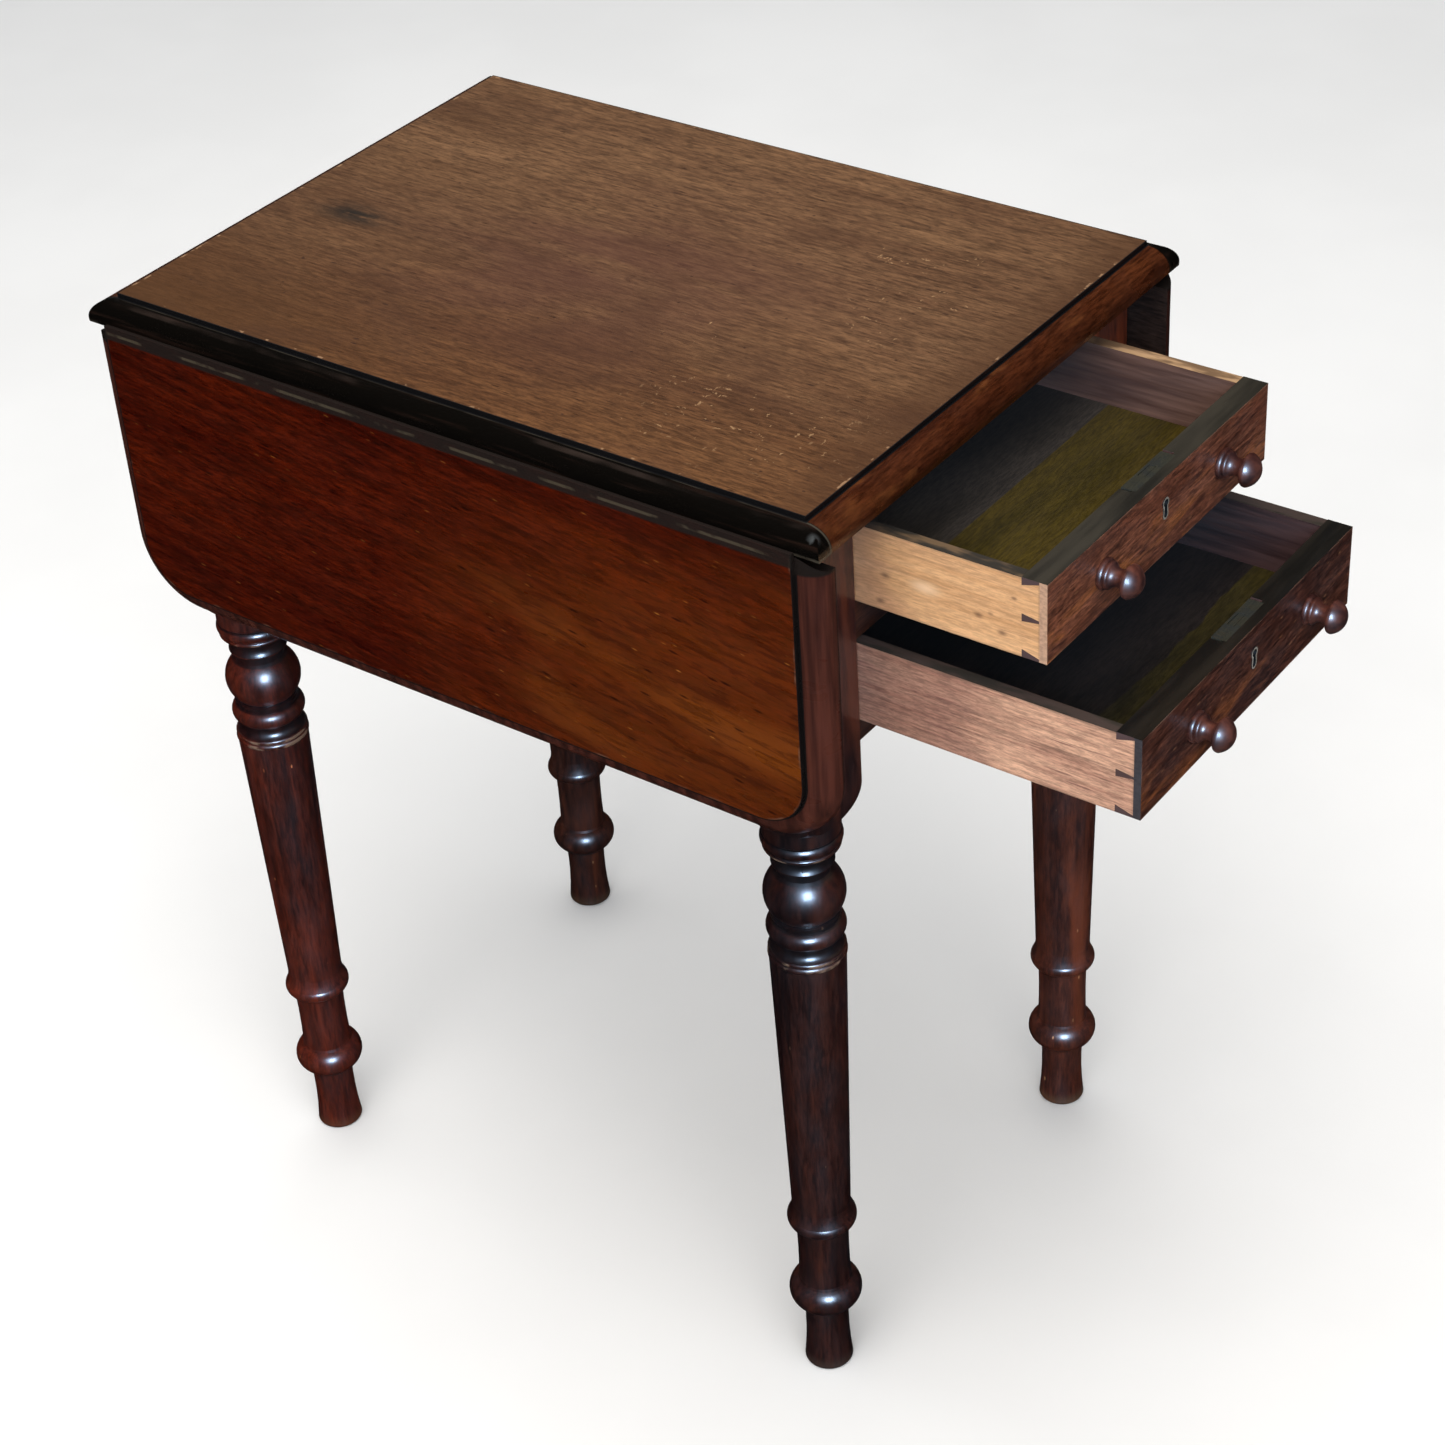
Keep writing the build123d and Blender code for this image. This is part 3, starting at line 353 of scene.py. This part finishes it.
def leaf_moulding(g, colour, across, low, high, outer):
    """Adds a leaf's moulded border, the black step round its flat and the scratched arris."""
    flat_half = (high.y - low.y) / 2 - THUMB
    tall = 1.0
    centre = ((low.y + high.y) / 2, low.z + THUMB + tall)
    out = round_box(g, g.y, g.z, centre, (flat_half, tall), LEAF_CORNER)
    off_flat = g.ramp(out, -0.0004, 0.0004)
    mould = g.grain("Z", 8.0, 160.0, 26, bend=0.3)
    mould = g.mix(g.ramp(mould, 0.35, 0.7), (0.026, 0.0085, 0.0065), (0.072, 0.021, 0.014))
    colour = g.mix(off_flat, colour, mould)
    risen = g.ramp(across, outer - STEP - 0.0012, outer - STEP)
    step = g.times(g.band(out, -0.0006, 0.0010, 0.0006), risen)
    colour = g.mix(step, colour, (0.007, 0.006, 0.006))
    arris = g.band(out, -0.0018, -0.0011, 0.0004)
    scratched = g.ramp(g.grain("Y", 45.0, 45.0, 27), 0.50, 0.70)
    return g.mix(g.times(g.times(arris, scratched), 0.6), colour, (0.110, 0.062, 0.042))


def leaf_joint_edge(g, colour, across, low, high, outer):
    """Adds the dark lip and the cove along a leaf's joint edge, the cove painted near black as shade, and
    the chips at its front corner.
    """
    top_gap = g.less(high.z, g.z)
    dark_lip = g.times(g.ramp(top_gap, 0.0102, 0.0086), g.ramp(across, outer - 0.004, outer - 0.001))
    colour = g.mix(g.times(dark_lip, 0.9), colour, (0.012, 0.010, 0.009))
    lip = g.band(top_gap, 0.0042, 0.0056, 0.0007)
    lip = g.times(lip, g.ramp(g.grain("Y", 40.0, 40.0, 28), 0.42, 0.55))
    colour = g.mix(g.times(lip, 0.5), colour, (0.085, 0.070, 0.046))
    corner = g.times(g.ramp(g.y, low.y + 0.008, low.y + 0.003), g.ramp(top_gap, 0.010, 0.006))
    bare = g.times(corner, g.ramp(g.grain("Y", 130.0, 130.0, 36), 0.44, 0.58))
    colour = g.mix(g.times(bare, 0.8), colour, (0.22, 0.25, 0.27))
    # Painted shade: the cove under the top's moulding, near black.
    cove = g.times(g.ramp(across, outer - 0.0004, outer - 0.0012), g.ramp(top_gap, 0.016, 0.014))
    return g.mix(cove, colour, (0.012, 0.009, 0.008))


def leaf_material(side):
    """A leaf: its nicked face, its moulded border, its joint edge and a back painted near black as shade.
    """
    name = "left" if side < 0 else "right"
    g = Graph(f"leaf_{name}")
    low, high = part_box(f"leaf_{name}")
    outer, inner = max(abs(low.x), abs(high.x)), min(abs(low.x), abs(high.x))
    across = g.size(g.x)
    colour, height = leaf_face(g, side, outer)
    nicks = g.dashes("Y", 0.006, 0.0018, 0.08, 25, LEAF_GRAIN_TILT, ragged=0.6)
    colour = g.mix(g.times(nicks, 0.7), colour, (0.26, 0.13, 0.06))
    colour = leaf_moulding(g, colour, across, low, high, outer)
    colour = leaf_joint_edge(g, colour, across, low, high, outer)
    # Painted shade: the back, which faces the case under the top, near black.
    back = g.ramp(across, inner + 0.0012, inner + 0.0004)
    plain, _ = mahogany(g, "Y", (0.012, 0.009, 0.009), (0.034, 0.022, 0.018), 29)
    colour = g.mix(back, colour, plain)

    rough = g.ramp(g.grain("Y", 20.0, 60.0, 30), 0.3, 0.7, 0.26, 0.36)
    rough = g.add(rough, g.times(back, 0.25))
    normal = g.bump(g.less(height, nicks), 0.00010, 0.6)
    return g.finish(colour, rough, normal, Specular_IOR_Level=0.05)


# Painted light, partly each leg's own tone: each leg lighter or darker as the light falls on it.
LEG_LIGHT_AND_TONE = {
    "leg_front_left": (1.0, 1.0, 1.1),
    "leg_rear_left": (2.1, 1.10, 0.65),
    "leg_front_right": (2.4, 2.2, 1.8),
    "leg_rear_right": (1.4, 1.4, 1.2),
}
POST_FOOT = (0.488, 0.500)
# Near-black bands in the turned hollows: partly grime, partly painted shade.
HOLLOWS = (  # top and bottom of each, up the leg
    (0.4605, 0.4500), (0.4480, 0.4405), (0.4088, 0.4030), (0.3900, 0.3812), (0.4738, 0.4722),
    (0.1346, 0.1325), (0.0575, 0.0545),
)
# Pale rings: partly rubbed wear, partly painted glints on the rings' crests.
RUBBED_AND_GLINTING_RINGS = ((0.3800, 0.3780), (0.3765, 0.3738), (0.4632, 0.4622))


def leg_material(name):
    """A leg: dark red-brown, streaked along its height, high gloss, its own painted light, hollows
    darkened by grime and painted shade, some rings lightened by wear and painted glints.
    """
    g = Graph(name)
    seed = 40 + sum(map(ord, name)) % 17
    colour, height = mahogany(g, "Z", (0.010, 0.0030, 0.0028), (0.050, 0.013, 0.0075), seed, pores=0.10)
    worn = g.ramp(g.grain("Z", 6.0, 45.0, seed + 5, detail=4.0, bend=0.5), 0.52, 0.72)
    colour = g.mix(g.times(worn, 0.6), colour, (0.085, 0.020, 0.0075))
    chips = g.dashes("Z", 0.005, 0.0018, 0.03, seed + 6)
    colour = g.mix(g.times(chips, 0.85), colour, (0.30, 0.17, 0.09))
    foot = g.ramp(g.z, 0.012, 0.002)
    colour = g.mix(g.times(foot, 0.6), colour, (0.050, 0.034, 0.024))
    # Painted light for this leg, partly its own tone.
    colour = g.mix(1.0, colour, LEG_LIGHT_AND_TONE[name], "MULTIPLY")
    square = g.ramp(g.z, *POST_FOOT)
    colour = g.mix(square, colour, g.mix(1.0, colour, (1.5, 1.5, 1.4), "MULTIPLY"))
    # Painted shade, partly grime: near-black bands in the hollows.
    for top, bottom in HOLLOWS:
        colour = g.mix(g.times(g.band(g.z, bottom, top, 0.0008), 0.75), colour, (0.004, 0.003, 0.004))
    # Pale rings: partly rubbed wear, partly painted glints.
    for top, bottom in RUBBED_AND_GLINTING_RINGS:
        rubbed = g.ramp(g.grain("X", 60.0, 90.0, seed + 8), 0.48, 0.62)
        ring = g.band(g.z, bottom, top, 0.0005)
        colour = g.mix(g.times(ring, g.times(rubbed, 0.5)), colour, (0.30, 0.21, 0.15))
    rough = g.ramp(g.grain("Z", 25.0, 80.0, seed + 7), 0.3, 0.7, 0.28, 0.42)
    normal = g.bump(g.less(height, chips), 0.00012, 0.7)
    return g.finish(colour, rough, normal, Specular_IOR_Level=0.5, Coat_Weight=0.35, Coat_Roughness=0.22)


def rail_material(node, axis):
    """A rail or panel of the case: plain dark polished mahogany, rubbed at its arrises."""
    g = Graph(node)
    seed = 60 + sum(map(ord, node)) % 23
    colour, height = mahogany(g, axis, (0.030, 0.009, 0.005), (0.085, 0.028, 0.013), seed)
    edge = g.ramp(board_edge(g, node), 0.0012, 0.0003)
    rubbed = g.times(edge, g.ramp(g.grain(axis, 40.0, 60.0, seed + 4), 0.45, 0.6))
    colour = g.mix(g.times(rubbed, 0.6), colour, (0.14, 0.075, 0.042))
    rough = g.ramp(g.grain(axis, 20.0, 60.0, seed + 5), 0.3, 0.7, 0.32, 0.48)
    return g.finish(colour, rough, g.bump(height, 0.00010, 0.5), Specular_IOR_Level=0.35)


TOP_EDGE_TONES = {
    "upper": ((0.010, 0.0085, 0.0058), (0.030, 0.0255, 0.0180)),
    "lower": ((0.005, 0.0042, 0.0030), (0.0145, 0.0115, 0.0080)),
}
FRONT_TONES = {
    "upper": ((0.092, 0.026, 0.014), (0.245, 0.088, 0.047), (0.32, 0.105, 0.024)),
    "lower": ((0.036, 0.010, 0.006), (0.120, 0.042, 0.026), (0.200, 0.060, 0.017)),
}
FRONT_SEEDS = {"upper": 90, "lower": 95}


def front_face(g, drawer, node):
    """A drawer front's polished face: figured, flecked and rubbed at its arrises."""
    seed = FRONT_SEEDS[drawer]
    low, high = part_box(node)
    dark, light, bright = FRONT_TONES[drawer]
    colour, height = mahogany(g, "X", dark, light, seed)
    figure = g.ramp(g.grain("X", 14.0, 60.0, seed + 1, detail=4.0, bend=1.2), 0.48, 0.72)
    lower_half = g.ramp(g.z, high.z - 0.012, low.z + 0.012)
    colour = g.mix(g.times(g.times(figure, lower_half), 0.75), colour, bright)
    colour = g.gritty(colour, "X", seed + 7, 0.7)
    flecks = g.dashes("X", 0.006, 0.0020, 0.45, seed + 2)
    colour = g.mix(g.times(flecks, 0.6), colour, (0.26, 0.110, 0.050))
    edge = g.ramp(board_edge(g, node), 0.0014, 0.0004)
    rubbed = g.times(edge, g.ramp(g.grain("X", 50.0, 50.0, seed + 3), 0.42, 0.6))
    return g.mix(g.times(rubbed, 0.5), colour, (0.22, 0.12, 0.08)), height


def front_material(drawer, node, end_colour):
    """A drawer front: its face, a dark worn top edge, end grain in the lapped joint, a plain back."""
    g = Graph(node)
    seed = FRONT_SEEDS[drawer]
    low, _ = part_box(node)
    colour, height = front_face(g, drawer, node)
    on_top = g.ramp(g.nz, 0.6, 0.8)
    top_tone = g.ramp(g.grain("X", 10.0, 90.0, seed + 4), 0.3, 0.7)
    colour = g.mix(on_top, colour, g.mix(top_tone, *TOP_EDGE_TONES[drawer]))
    on_end = g.ramp(g.size(g.nx), 0.6, 0.8)
    end_dark = [0.7 * c for c in end_colour]
    end_grain = g.mix(g.ramp(g.grain("Y", 300.0, 500.0, seed + 5), 0.35, 0.7), end_colour, end_dark)
    pin = g.ramp(g.y, low.y + LAP, low.y + LAP + 0.0006)
    colour = g.mix(on_end, colour, g.mix(pin, end_grain, (0.070, 0.032, 0.026)))
    behind = g.ramp(g.ny, 0.6, 0.8)
    colour = g.mix(behind, colour, (0.055, 0.026, 0.018))
    bare = g.high(on_end, behind)
    rough = g.ramp(g.grain("X", 20.0, 60.0, seed + 6), 0.3, 0.7, 0.30, 0.45)
    rough = g.add(rough, g.times(bare, 0.3))
    return g.finish(colour, rough, g.bump(height, 0.00010, 0.5), Specular_IOR_Level=0.35)


SIDE_TONES = {
    "upper": ((0.52, 0.275, 0.120), (0.70, 0.410, 0.205), (0.44, 0.215, 0.115)),
    "lower": ((0.32, 0.155, 0.105), (0.64, 0.38, 0.25), (0.20, 0.085, 0.065)),
}
# The lower drawer's inner faces are darker: painted shade from the upper drawer over it.
INNER_TONES = {
    "upper": ((0.070, 0.034, 0.026), (0.165, 0.092, 0.072)),
    "lower": ((0.028, 0.013, 0.014), (0.085, 0.045, 0.045)),
}
MARK_STRENGTH = {"upper": 0.55, "lower": 0.8}
GRIT = {"upper": 0.28, "lower": 0.50}
SIDE_TOP_TONES = {
    "upper_drawer_side_left": ((0.024, 0.019, 0.013), (0.10, 0.062, 0.032)),
    "upper_drawer_side_right": ((0.13, 0.075, 0.038), (0.34, 0.21, 0.11)),
    "lower_drawer_side_left": ((0.024, 0.019, 0.013), (0.045, 0.030, 0.024)),
    "lower_drawer_side_right": ((0.024, 0.019, 0.013), (0.045, 0.030, 0.024)),
}


def side_face(g, drawer, node, seed):
    """A drawer side's bare outer face. Returns its colour, its streaks and its darker marks."""
    low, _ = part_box(node)
    dark, light, pink = SIDE_TONES[drawer]
    strength = MARK_STRENGTH[drawer]
    clouds = g.ramp(g.grain("Y", 4.0, 22.0, seed, bend=0.8), 0.3, 0.7)
    streaks = g.ramp(g.grain("Y", 10.0, 260.0, seed + 1, detail=4.0, rough=0.65), 0.3, 0.7)
    colour = g.mix(g.add(g.times(clouds, 0.4), g.times(streaks, 0.6)), dark, light)
    short = g.dashes("Y", 0.012, 0.0018, 0.35, seed + 2)
    long = g.dashes("Y", 0.030, 0.0016, 0.30, seed + 6)
    darker = g.high(short, long)
    colour = g.mix(g.times(darker, strength), colour, pink)
    lines = g.ramp(g.grain("Y", 7.0, 330.0, seed + 7, detail=3.0, rough=0.7), 0.52, 0.66)
    colour = g.mix(g.times(lines, 0.55 * strength), colour, [0.45 * c for c in pink])
    rear = g.ramp(g.add(g.y, g.times(clouds, 0.03)), low.y + 0.105, low.y + 0.135)
    colour = g.mix(g.times(rear, 0.55), colour, pink)
    colour = g.gritty(colour, "Y", seed + 9, GRIT[drawer])
    knots = g.dashes("Y", 0.0060, 0.0036, 0.07, seed + 3)
    if node == MARKED_SIDE:
        stains = g.times(g.dashes("Y", 0.007, 0.0034, 0.45, seed + 8, ragged=0.9), rear)
        colour = g.mix(g.times(stains, 0.75), colour, (0.16, 0.065, 0.045))
        pale = g.near((low.x, *PALE_SPOT), (1.0, *PALE_SPOT_REACH))
        colour = g.mix(g.times(pale, 0.7), colour, (0.86, 0.60, 0.38))
        for knot in KNOTS:
            knots = g.high(knots, g.near((low.x, *knot), (1.0, *KNOT_REACH)))
    colour = g.mix(g.times(knots, 0.75), colour, (0.14, 0.065, 0.035))
    edge = g.ramp(board_edge(g, node), 0.0016, 0.0003)
    return g.mix(g.times(edge, 0.35), colour, (0.20, 0.12, 0.08)), streaks, darker


def side_material(drawer, hand):
    """A drawer side: bare wood outside, darkened inside and along its top edge."""
    node = f"{drawer}_drawer_side_{hand}"
    g = Graph(node)
    outward = -1.0 if hand == "left" else 1.0
    seed = 110 + (3 if hand == "left" else 0) + (9 if drawer == "upper" else 0)
    colour, streaks, darker = side_face(g, drawer, node, seed)
    outside = g.ramp(g.times(g.nx, outward), 0.3, 0.7)
    inner = g.mix(g.ramp(g.grain("Y", 12.0, 160.0, seed + 4), 0.3, 0.7), *INNER_TONES[drawer])
    colour = g.mix(outside, inner, colour)
    on_top = g.ramp(g.nz, 0.6, 0.8)
    top_tone = g.ramp(g.grain("Y", 30.0, 120.0, seed + 5), 0.42, 0.62)
    colour = g.mix(on_top, colour, g.mix(top_tone, *SIDE_TOP_TONES[node]))
    rough = g.ramp(streaks, 0.0, 1.0, 0.55, 0.68)
    normal = g.bump(g.less(streaks, darker), 0.00010, 0.5)
    return g.finish(colour, rough, normal, Specular_IOR_Level=0.25)


# The lower drawer's tones, here and in the shadow below, are darker: painted shade from the upper drawer
# over it.
OLIVE_TONES = {
    "upper": ((0.0235, 0.0168, 0.0016), (0.044, 0.0300, 0.0036)),
    "lower": ((0.010, 0.009, 0.005), (0.045, 0.034, 0.007)),
}
# Painted shadow behind the border: of the top's front edge in the upper drawer, of the upper drawer in
# the lower.
SHADOW_TONES = {
    "upper": ((0.018, 0.0145, 0.0110), (0.033, 0.027, 0.0225)),
    "lower": ((0.007, 0.006, 0.006), (0.020, 0.015, 0.014)),
}
SHADOW_BORDER = {"upper": 0.094, "lower": 0.048}
BORDER_WANDER = {"upper": 0.001, "lower": 0.022}


def bottom_material(drawer):
    """A drawer bottom: olive in front, a grey-brown painted shadow behind a border, bare wood underneath.
    """
    node = f"{drawer}_drawer_bottom"
    g = Graph(node)
    seed = 140 if drawer == "upper" else 145
    low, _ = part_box(node)
    clouds = g.ramp(g.grain("X", 9.0, 30.0, seed, detail=4.0), 0.3, 0.7)
    fine = g.ramp(g.grain("X", 40.0, 320.0, seed + 1, detail=3.0), 0.3, 0.7)
    olive = g.mix(clouds, *OLIVE_TONES[drawer])
    shadowed = g.mix(clouds, *SHADOW_TONES[drawer])
    border = low.y + SHADOW_BORDER[drawer]
    drift = g.times(g.less(g.grain("X", 14.0, 14.0, seed + 2), 0.5), BORDER_WANDER[drawer])
    colour = g.mix(g.ramp(g.add(g.y, drift), border - 0.0006, border + 0.0006), olive, shadowed)
    # Painted light: the olive and the shadow made lighter near the border.
    if drawer == "upper":
        painted_light = g.times(g.ramp(g.y, border - 0.060, border), g.ramp(g.y, border + 0.100, border + 0.020))
        lighter = g.mix(1.0, colour, (1.5, 1.5, 1.5), "MULTIPLY")
        colour = g.mix(g.times(painted_light, 0.7), colour, lighter)
    colour = g.mix(g.times(fine, 0.25), colour, (0.020, 0.015, 0.010))
    colour = g.gritty(colour, "X", seed + 4, 0.5)
    specks = g.dashes("X", 0.002, 0.0018, 0.02, seed + 3)
    colour = g.mix(g.times(specks, 0.7), colour, (0.012, 0.010, 0.008))
    under = g.ramp(g.nz, -0.3, -0.7)
    colour = g.mix(under, colour, g.mix(fine, (0.24, 0.15, 0.08), (0.34, 0.22, 0.12)))
    return g.finish(colour, 0.62, g.bump(fine, 0.00008, 0.4), Specular_IOR_Level=0.25)


def bare_material(node, axis):
    """Unpolished inner wood, brown with age."""
    g = Graph(node)
    seed = 160 + sum(map(ord, node)) % 29
    clouds = g.ramp(g.grain(axis, 4.0, 22.0, seed, bend=0.8), 0.3, 0.7)
    streaks = g.ramp(g.grain(axis, 10.0, 240.0, seed + 1, detail=4.0, rough=0.6), 0.3, 0.7)
    tone = g.add(g.times(clouds, 0.5), g.times(streaks, 0.5))
    colour = g.mix(tone, (0.10, 0.052, 0.026), (0.21, 0.125, 0.066))
    dark = g.dashes(axis, 0.010, 0.0012, 0.3, seed + 2)
    colour = g.mix(g.times(dark, 0.5), colour, (0.045, 0.024, 0.014))
    return g.finish(colour, 0.66, g.bump(streaks, 0.00012, 0.5), Specular_IOR_Level=0.25)


def knob_material(node):
    """A turned knob: dark red-brown under a deep gloss."""
    g = Graph(node)
    seed = 200 + sum(map(ord, node)) % 13
    streaks = g.ramp(g.grain("Y", 30.0, 140.0, seed, detail=2.0), 0.3, 0.7)
    colour = g.mix(streaks, (0.030, 0.0085, 0.0065), (0.100, 0.030, 0.018))
    rough = g.ramp(g.grain("Y", 60.0, 60.0, seed + 1), 0.3, 0.7, 0.36, 0.48)
    normal = g.bump(streaks, 0.00005, 0.4)
    return g.finish(colour, rough, normal, Specular_IOR_Level=0.5, Coat_Weight=0.15)


# ---- Metals ------------------------------------------------------------------------------------


def metal_material(name, clean, dull, rough, seed):
    """Old metal: clean where it is rubbed, dull and blotchy elsewhere."""
    g = Graph(name)
    blotch = g.ramp(g.grain("X", 120.0, 120.0, seed, detail=5.0, rough=0.65), 0.42, 0.62)
    scratch = g.ramp(g.grain("X", 60.0, 1600.0, seed + 1), 0.45, 0.6)
    colour = g.mix(blotch, clean, dull)
    colour = g.mix(g.times(scratch, 0.2), colour, [0.5 * c for c in dull])
    surface = g.add(g.times(blotch, 0.25), rough)
    return g.finish(colour, surface, g.bump(blotch, 0.00006, 0.6), Metallic=0.75)


def keyhole_material():
    """The keyhole's lining: a thin pale rubbed edge in front, painted black inside as shade."""
    g = Graph("keyhole_metal")
    blotch = g.ramp(g.grain("X", 200.0, 200.0, 230), 0.35, 0.65)
    colour = g.mix(blotch, (0.40, 0.37, 0.32), (0.24, 0.21, 0.17))
    # Painted shade: all but the front-facing metal is black.
    colour = g.mix(g.ramp(g.ny, -0.4, -0.8), (0.006, 0.006, 0.005), colour)
    return g.finish(colour, 0.5, Metallic=0.3)


# ---- Giving every node its material ------------------------------------------------------------


def paint(node, material):
    """Gives one CAD node one material."""
    piece = NODES[node]
    piece.data.materials.clear()
    piece.data.materials.append(material)


RAIL_ARRIS = 0.0005
SHARP_ANGLE = math.radians(35.0)


def soften(node, width):
    """Rounds a board's arrises a little, as handling does."""
    piece = NODES[node]
    weld = piece.modifiers.new("weld", "WELD")
    weld.merge_threshold = 1e-5
    bevel = piece.modifiers.new("arris", "BEVEL")
    bevel.width = width
    bevel.segments = 2
    bevel.limit_method = "ANGLE"
    bevel.angle_limit = SHARP_ANGLE
    bevel.use_clamp_overlap = True
    piece.modifiers.new("shading", "WEIGHTED_NORMAL").keep_sharp = False


paint("table_top", top_material())
for side, hand in ((-1, "left"), (1, "right")):
    paint(f"leaf_{hand}", leaf_material(side))
    for end in ("front", "rear"):
        paint(f"leg_{end}_{hand}", leg_material(f"leg_{end}_{hand}"))

for rail in ("front_bottom_rail", "drawer_divider", "front_top_rail", "back_panel"):
    paint(rail, rail_material(rail, "X"))
    soften(rail, RAIL_ARRIS)

for part in ("drawer_stops", "glue_blocks"):
    paint(part, bare_material(part, "X"))
for hand in ("left", "right"):
    for part in ("side_rail", "fly_rail", "fly_bracket", "upper_runner", "lower_runner", "kicker"):
        node = f"{part}_{hand}"
        paint(node, bare_material(node, "Y"))

for drawer, end_colour in (("upper", (0.50, 0.30, 0.19)), ("lower", (0.040, 0.032, 0.034))):
    node = f"{drawer}_drawer_front"
    paint(node, front_material(drawer, node, end_colour))
    for hand in ("left", "right"):
        paint(f"{drawer}_drawer_side_{hand}", side_material(drawer, hand))
        knob = f"{drawer}_drawer_knob_{hand}"
        paint(knob, knob_material(knob))
    paint(f"{drawer}_drawer_bottom", bottom_material(drawer))
    paint(f"{drawer}_drawer_back", bare_material(f"{drawer}_drawer_back", "X"))

BRASS = metal_material("dull_brass", (0.085, 0.080, 0.055), (0.050, 0.045, 0.032), 0.45, 220)
RIM = keyhole_material()
LOCK_IRON = metal_material("lock_iron", (0.050, 0.047, 0.045), (0.022, 0.018, 0.015), 0.55, 250)
IRON = metal_material("old_iron", (0.20, 0.18, 0.17), (0.09, 0.055, 0.035), 0.42, 240)
for drawer in ("upper", "lower"):
    paint(f"{drawer}_drawer_lock_plate", BRASS)
    paint(f"{drawer}_drawer_escutcheon", RIM)
    paint(f"{drawer}_drawer_lock_case", LOCK_IRON)
    paint(f"{drawer}_drawer_lock_bolt", BRASS)
paint("top_screws", IRON)
for hand in ("left", "right"):
    for part in (
        "top_hinge_plates", "top_hinge_screws", "leaf_hinge_plates", "leaf_hinge_screws",
        "hinge_pins", "fly_bracket_pin",
    ):
        paint(f"{part}_{hand}", IRON)


# ---- Floor, light and camera -------------------------------------------------------------------


FLOOR_HALF = 6.0
LIT_MIDDLE = (0.0, 0.1, 0.4)
CAMERA_AT = (-1.3818, -1.0358, 1.6395)
CAMERA_TURN = (0.9065, -0.6203, -0.0711)
LENS, SENSOR_WIDTH = 76.4, 36.0


def floor_material():
    """Plain pale matt floor."""
    g = Graph("pale_floor")
    tone = g.ramp(g.grain("X", 3.0, 3.0, 300), 0.3, 0.7)
    colour = g.mix(tone, (0.80, 0.80, 0.80), (0.83, 0.83, 0.83))
    return g.finish(colour, 0.8, Specular_IOR_Level=0.1)


def floor():
    """A wide flat floor, which isn't part of the table."""
    half = FLOOR_HALF
    mesh = bpy.data.meshes.new("floor")
    corners = [(-half, -half, 0.0), (half, -half, 0.0), (half, half, 0.0), (-half, half, 0.0)]
    mesh.from_pydata(corners, [], [(0, 1, 2, 3)])
    made = bpy.data.objects.new("floor", mesh)
    made.data.materials.append(floor_material())
    bpy.context.scene.collection.objects.link(made)
    made.visible_glossy = False


def area_light(name, place, target, size, power, colour):
    """A soft rectangular light at a place, facing a target."""
    data = bpy.data.lights.new(name, "AREA")
    data.shape = "RECTANGLE"
    data.size, data.size_y = size
    data.energy = power
    data.color = colour
    made = bpy.data.objects.new(name, data)
    made.location = place
    made.rotation_mode = "QUATERNION"
    made.rotation_quaternion = (Vector(target) - Vector(place)).to_track_quat("-Z", "Y")
    bpy.context.scene.collection.objects.link(made)
    return made


def keep_off(light, node):
    """Stops a light from reaching one node."""
    left_out = bpy.data.collections.new("away_from_window")
    left_out.objects.link(NODES[node])
    left_out.collection_objects[0].light_linking.link_state = "EXCLUDE"
    light.light_linking.receiver_collection = left_out


def lights():
    """A bluish window behind the viewer for the gloss, and broad soft light for everything else."""
    window = area_light(
        "window", place=(-2.05, -1.95, 1.72), target=(-0.16, -0.14, 0.35), size=(1.0, 1.3),
        power=360.0, colour=(0.50, 0.70, 1.0),
    )
    window.visible_diffuse = False
    keep_off(window, "table_top")
    wall = area_light(
        "wall", place=(2.4, 2.5, 2.3), target=(0.0, 0.1, 0.72), size=(3.2, 2.2),
        power=3.5, colour=(0.95, 0.97, 1.0),
    )
    wall.visible_diffuse = False
    fill = area_light(
        "fill", place=(-1.6, -0.9, 3.0), target=LIT_MIDDLE, size=(3.0, 3.0),
        power=114.0, colour=(1.0, 0.965, 0.92),
    )
    fill.visible_glossy = False
    above = area_light(
        "above", place=(0.3, 0.6, 3.2), target=LIT_MIDDLE, size=(3.0, 3.0),
        power=62.0, colour=(1.0, 0.975, 0.94),
    )
    above.visible_glossy = False


def surroundings():
    """A faint cool light from all round, which doesn't show in the gloss."""
    world = bpy.data.worlds.new("studio")
    world.use_nodes = True
    background = world.node_tree.nodes["Background"]
    background.inputs["Color"].default_value = (0.92, 0.96, 1.0, 1.0)
    background.inputs["Strength"].default_value = 0.42
    world.cycles_visibility.glossy = False
    bpy.context.scene.world = world


def camera():
    """The view that the table is seen from, turned by yaw, pitch and roll."""
    yaw, pitch, roll = CAMERA_TURN
    ahead = Vector((math.cos(pitch) * math.sin(yaw), math.cos(pitch) * math.cos(yaw), math.sin(pitch)))
    level = ahead.cross(Vector((0.0, 0.0, 1.0))).normalized()
    up = level.cross(ahead)
    right = math.cos(roll) * level + math.sin(roll) * up
    up = right.cross(ahead)
    data = bpy.data.cameras.new("camera")
    data.sensor_width = SENSOR_WIDTH
    data.lens = LENS
    made = bpy.data.objects.new("camera", data)
    turned = Matrix((right, up, -ahead)).transposed().to_4x4()
    made.matrix_world = Matrix.Translation(CAMERA_AT) @ turned
    bpy.context.scene.collection.objects.link(made)
    bpy.context.scene.camera = made


floor()
lights()
surroundings()
camera()
bpy.context.scene.view_settings.view_transform = "Standard"
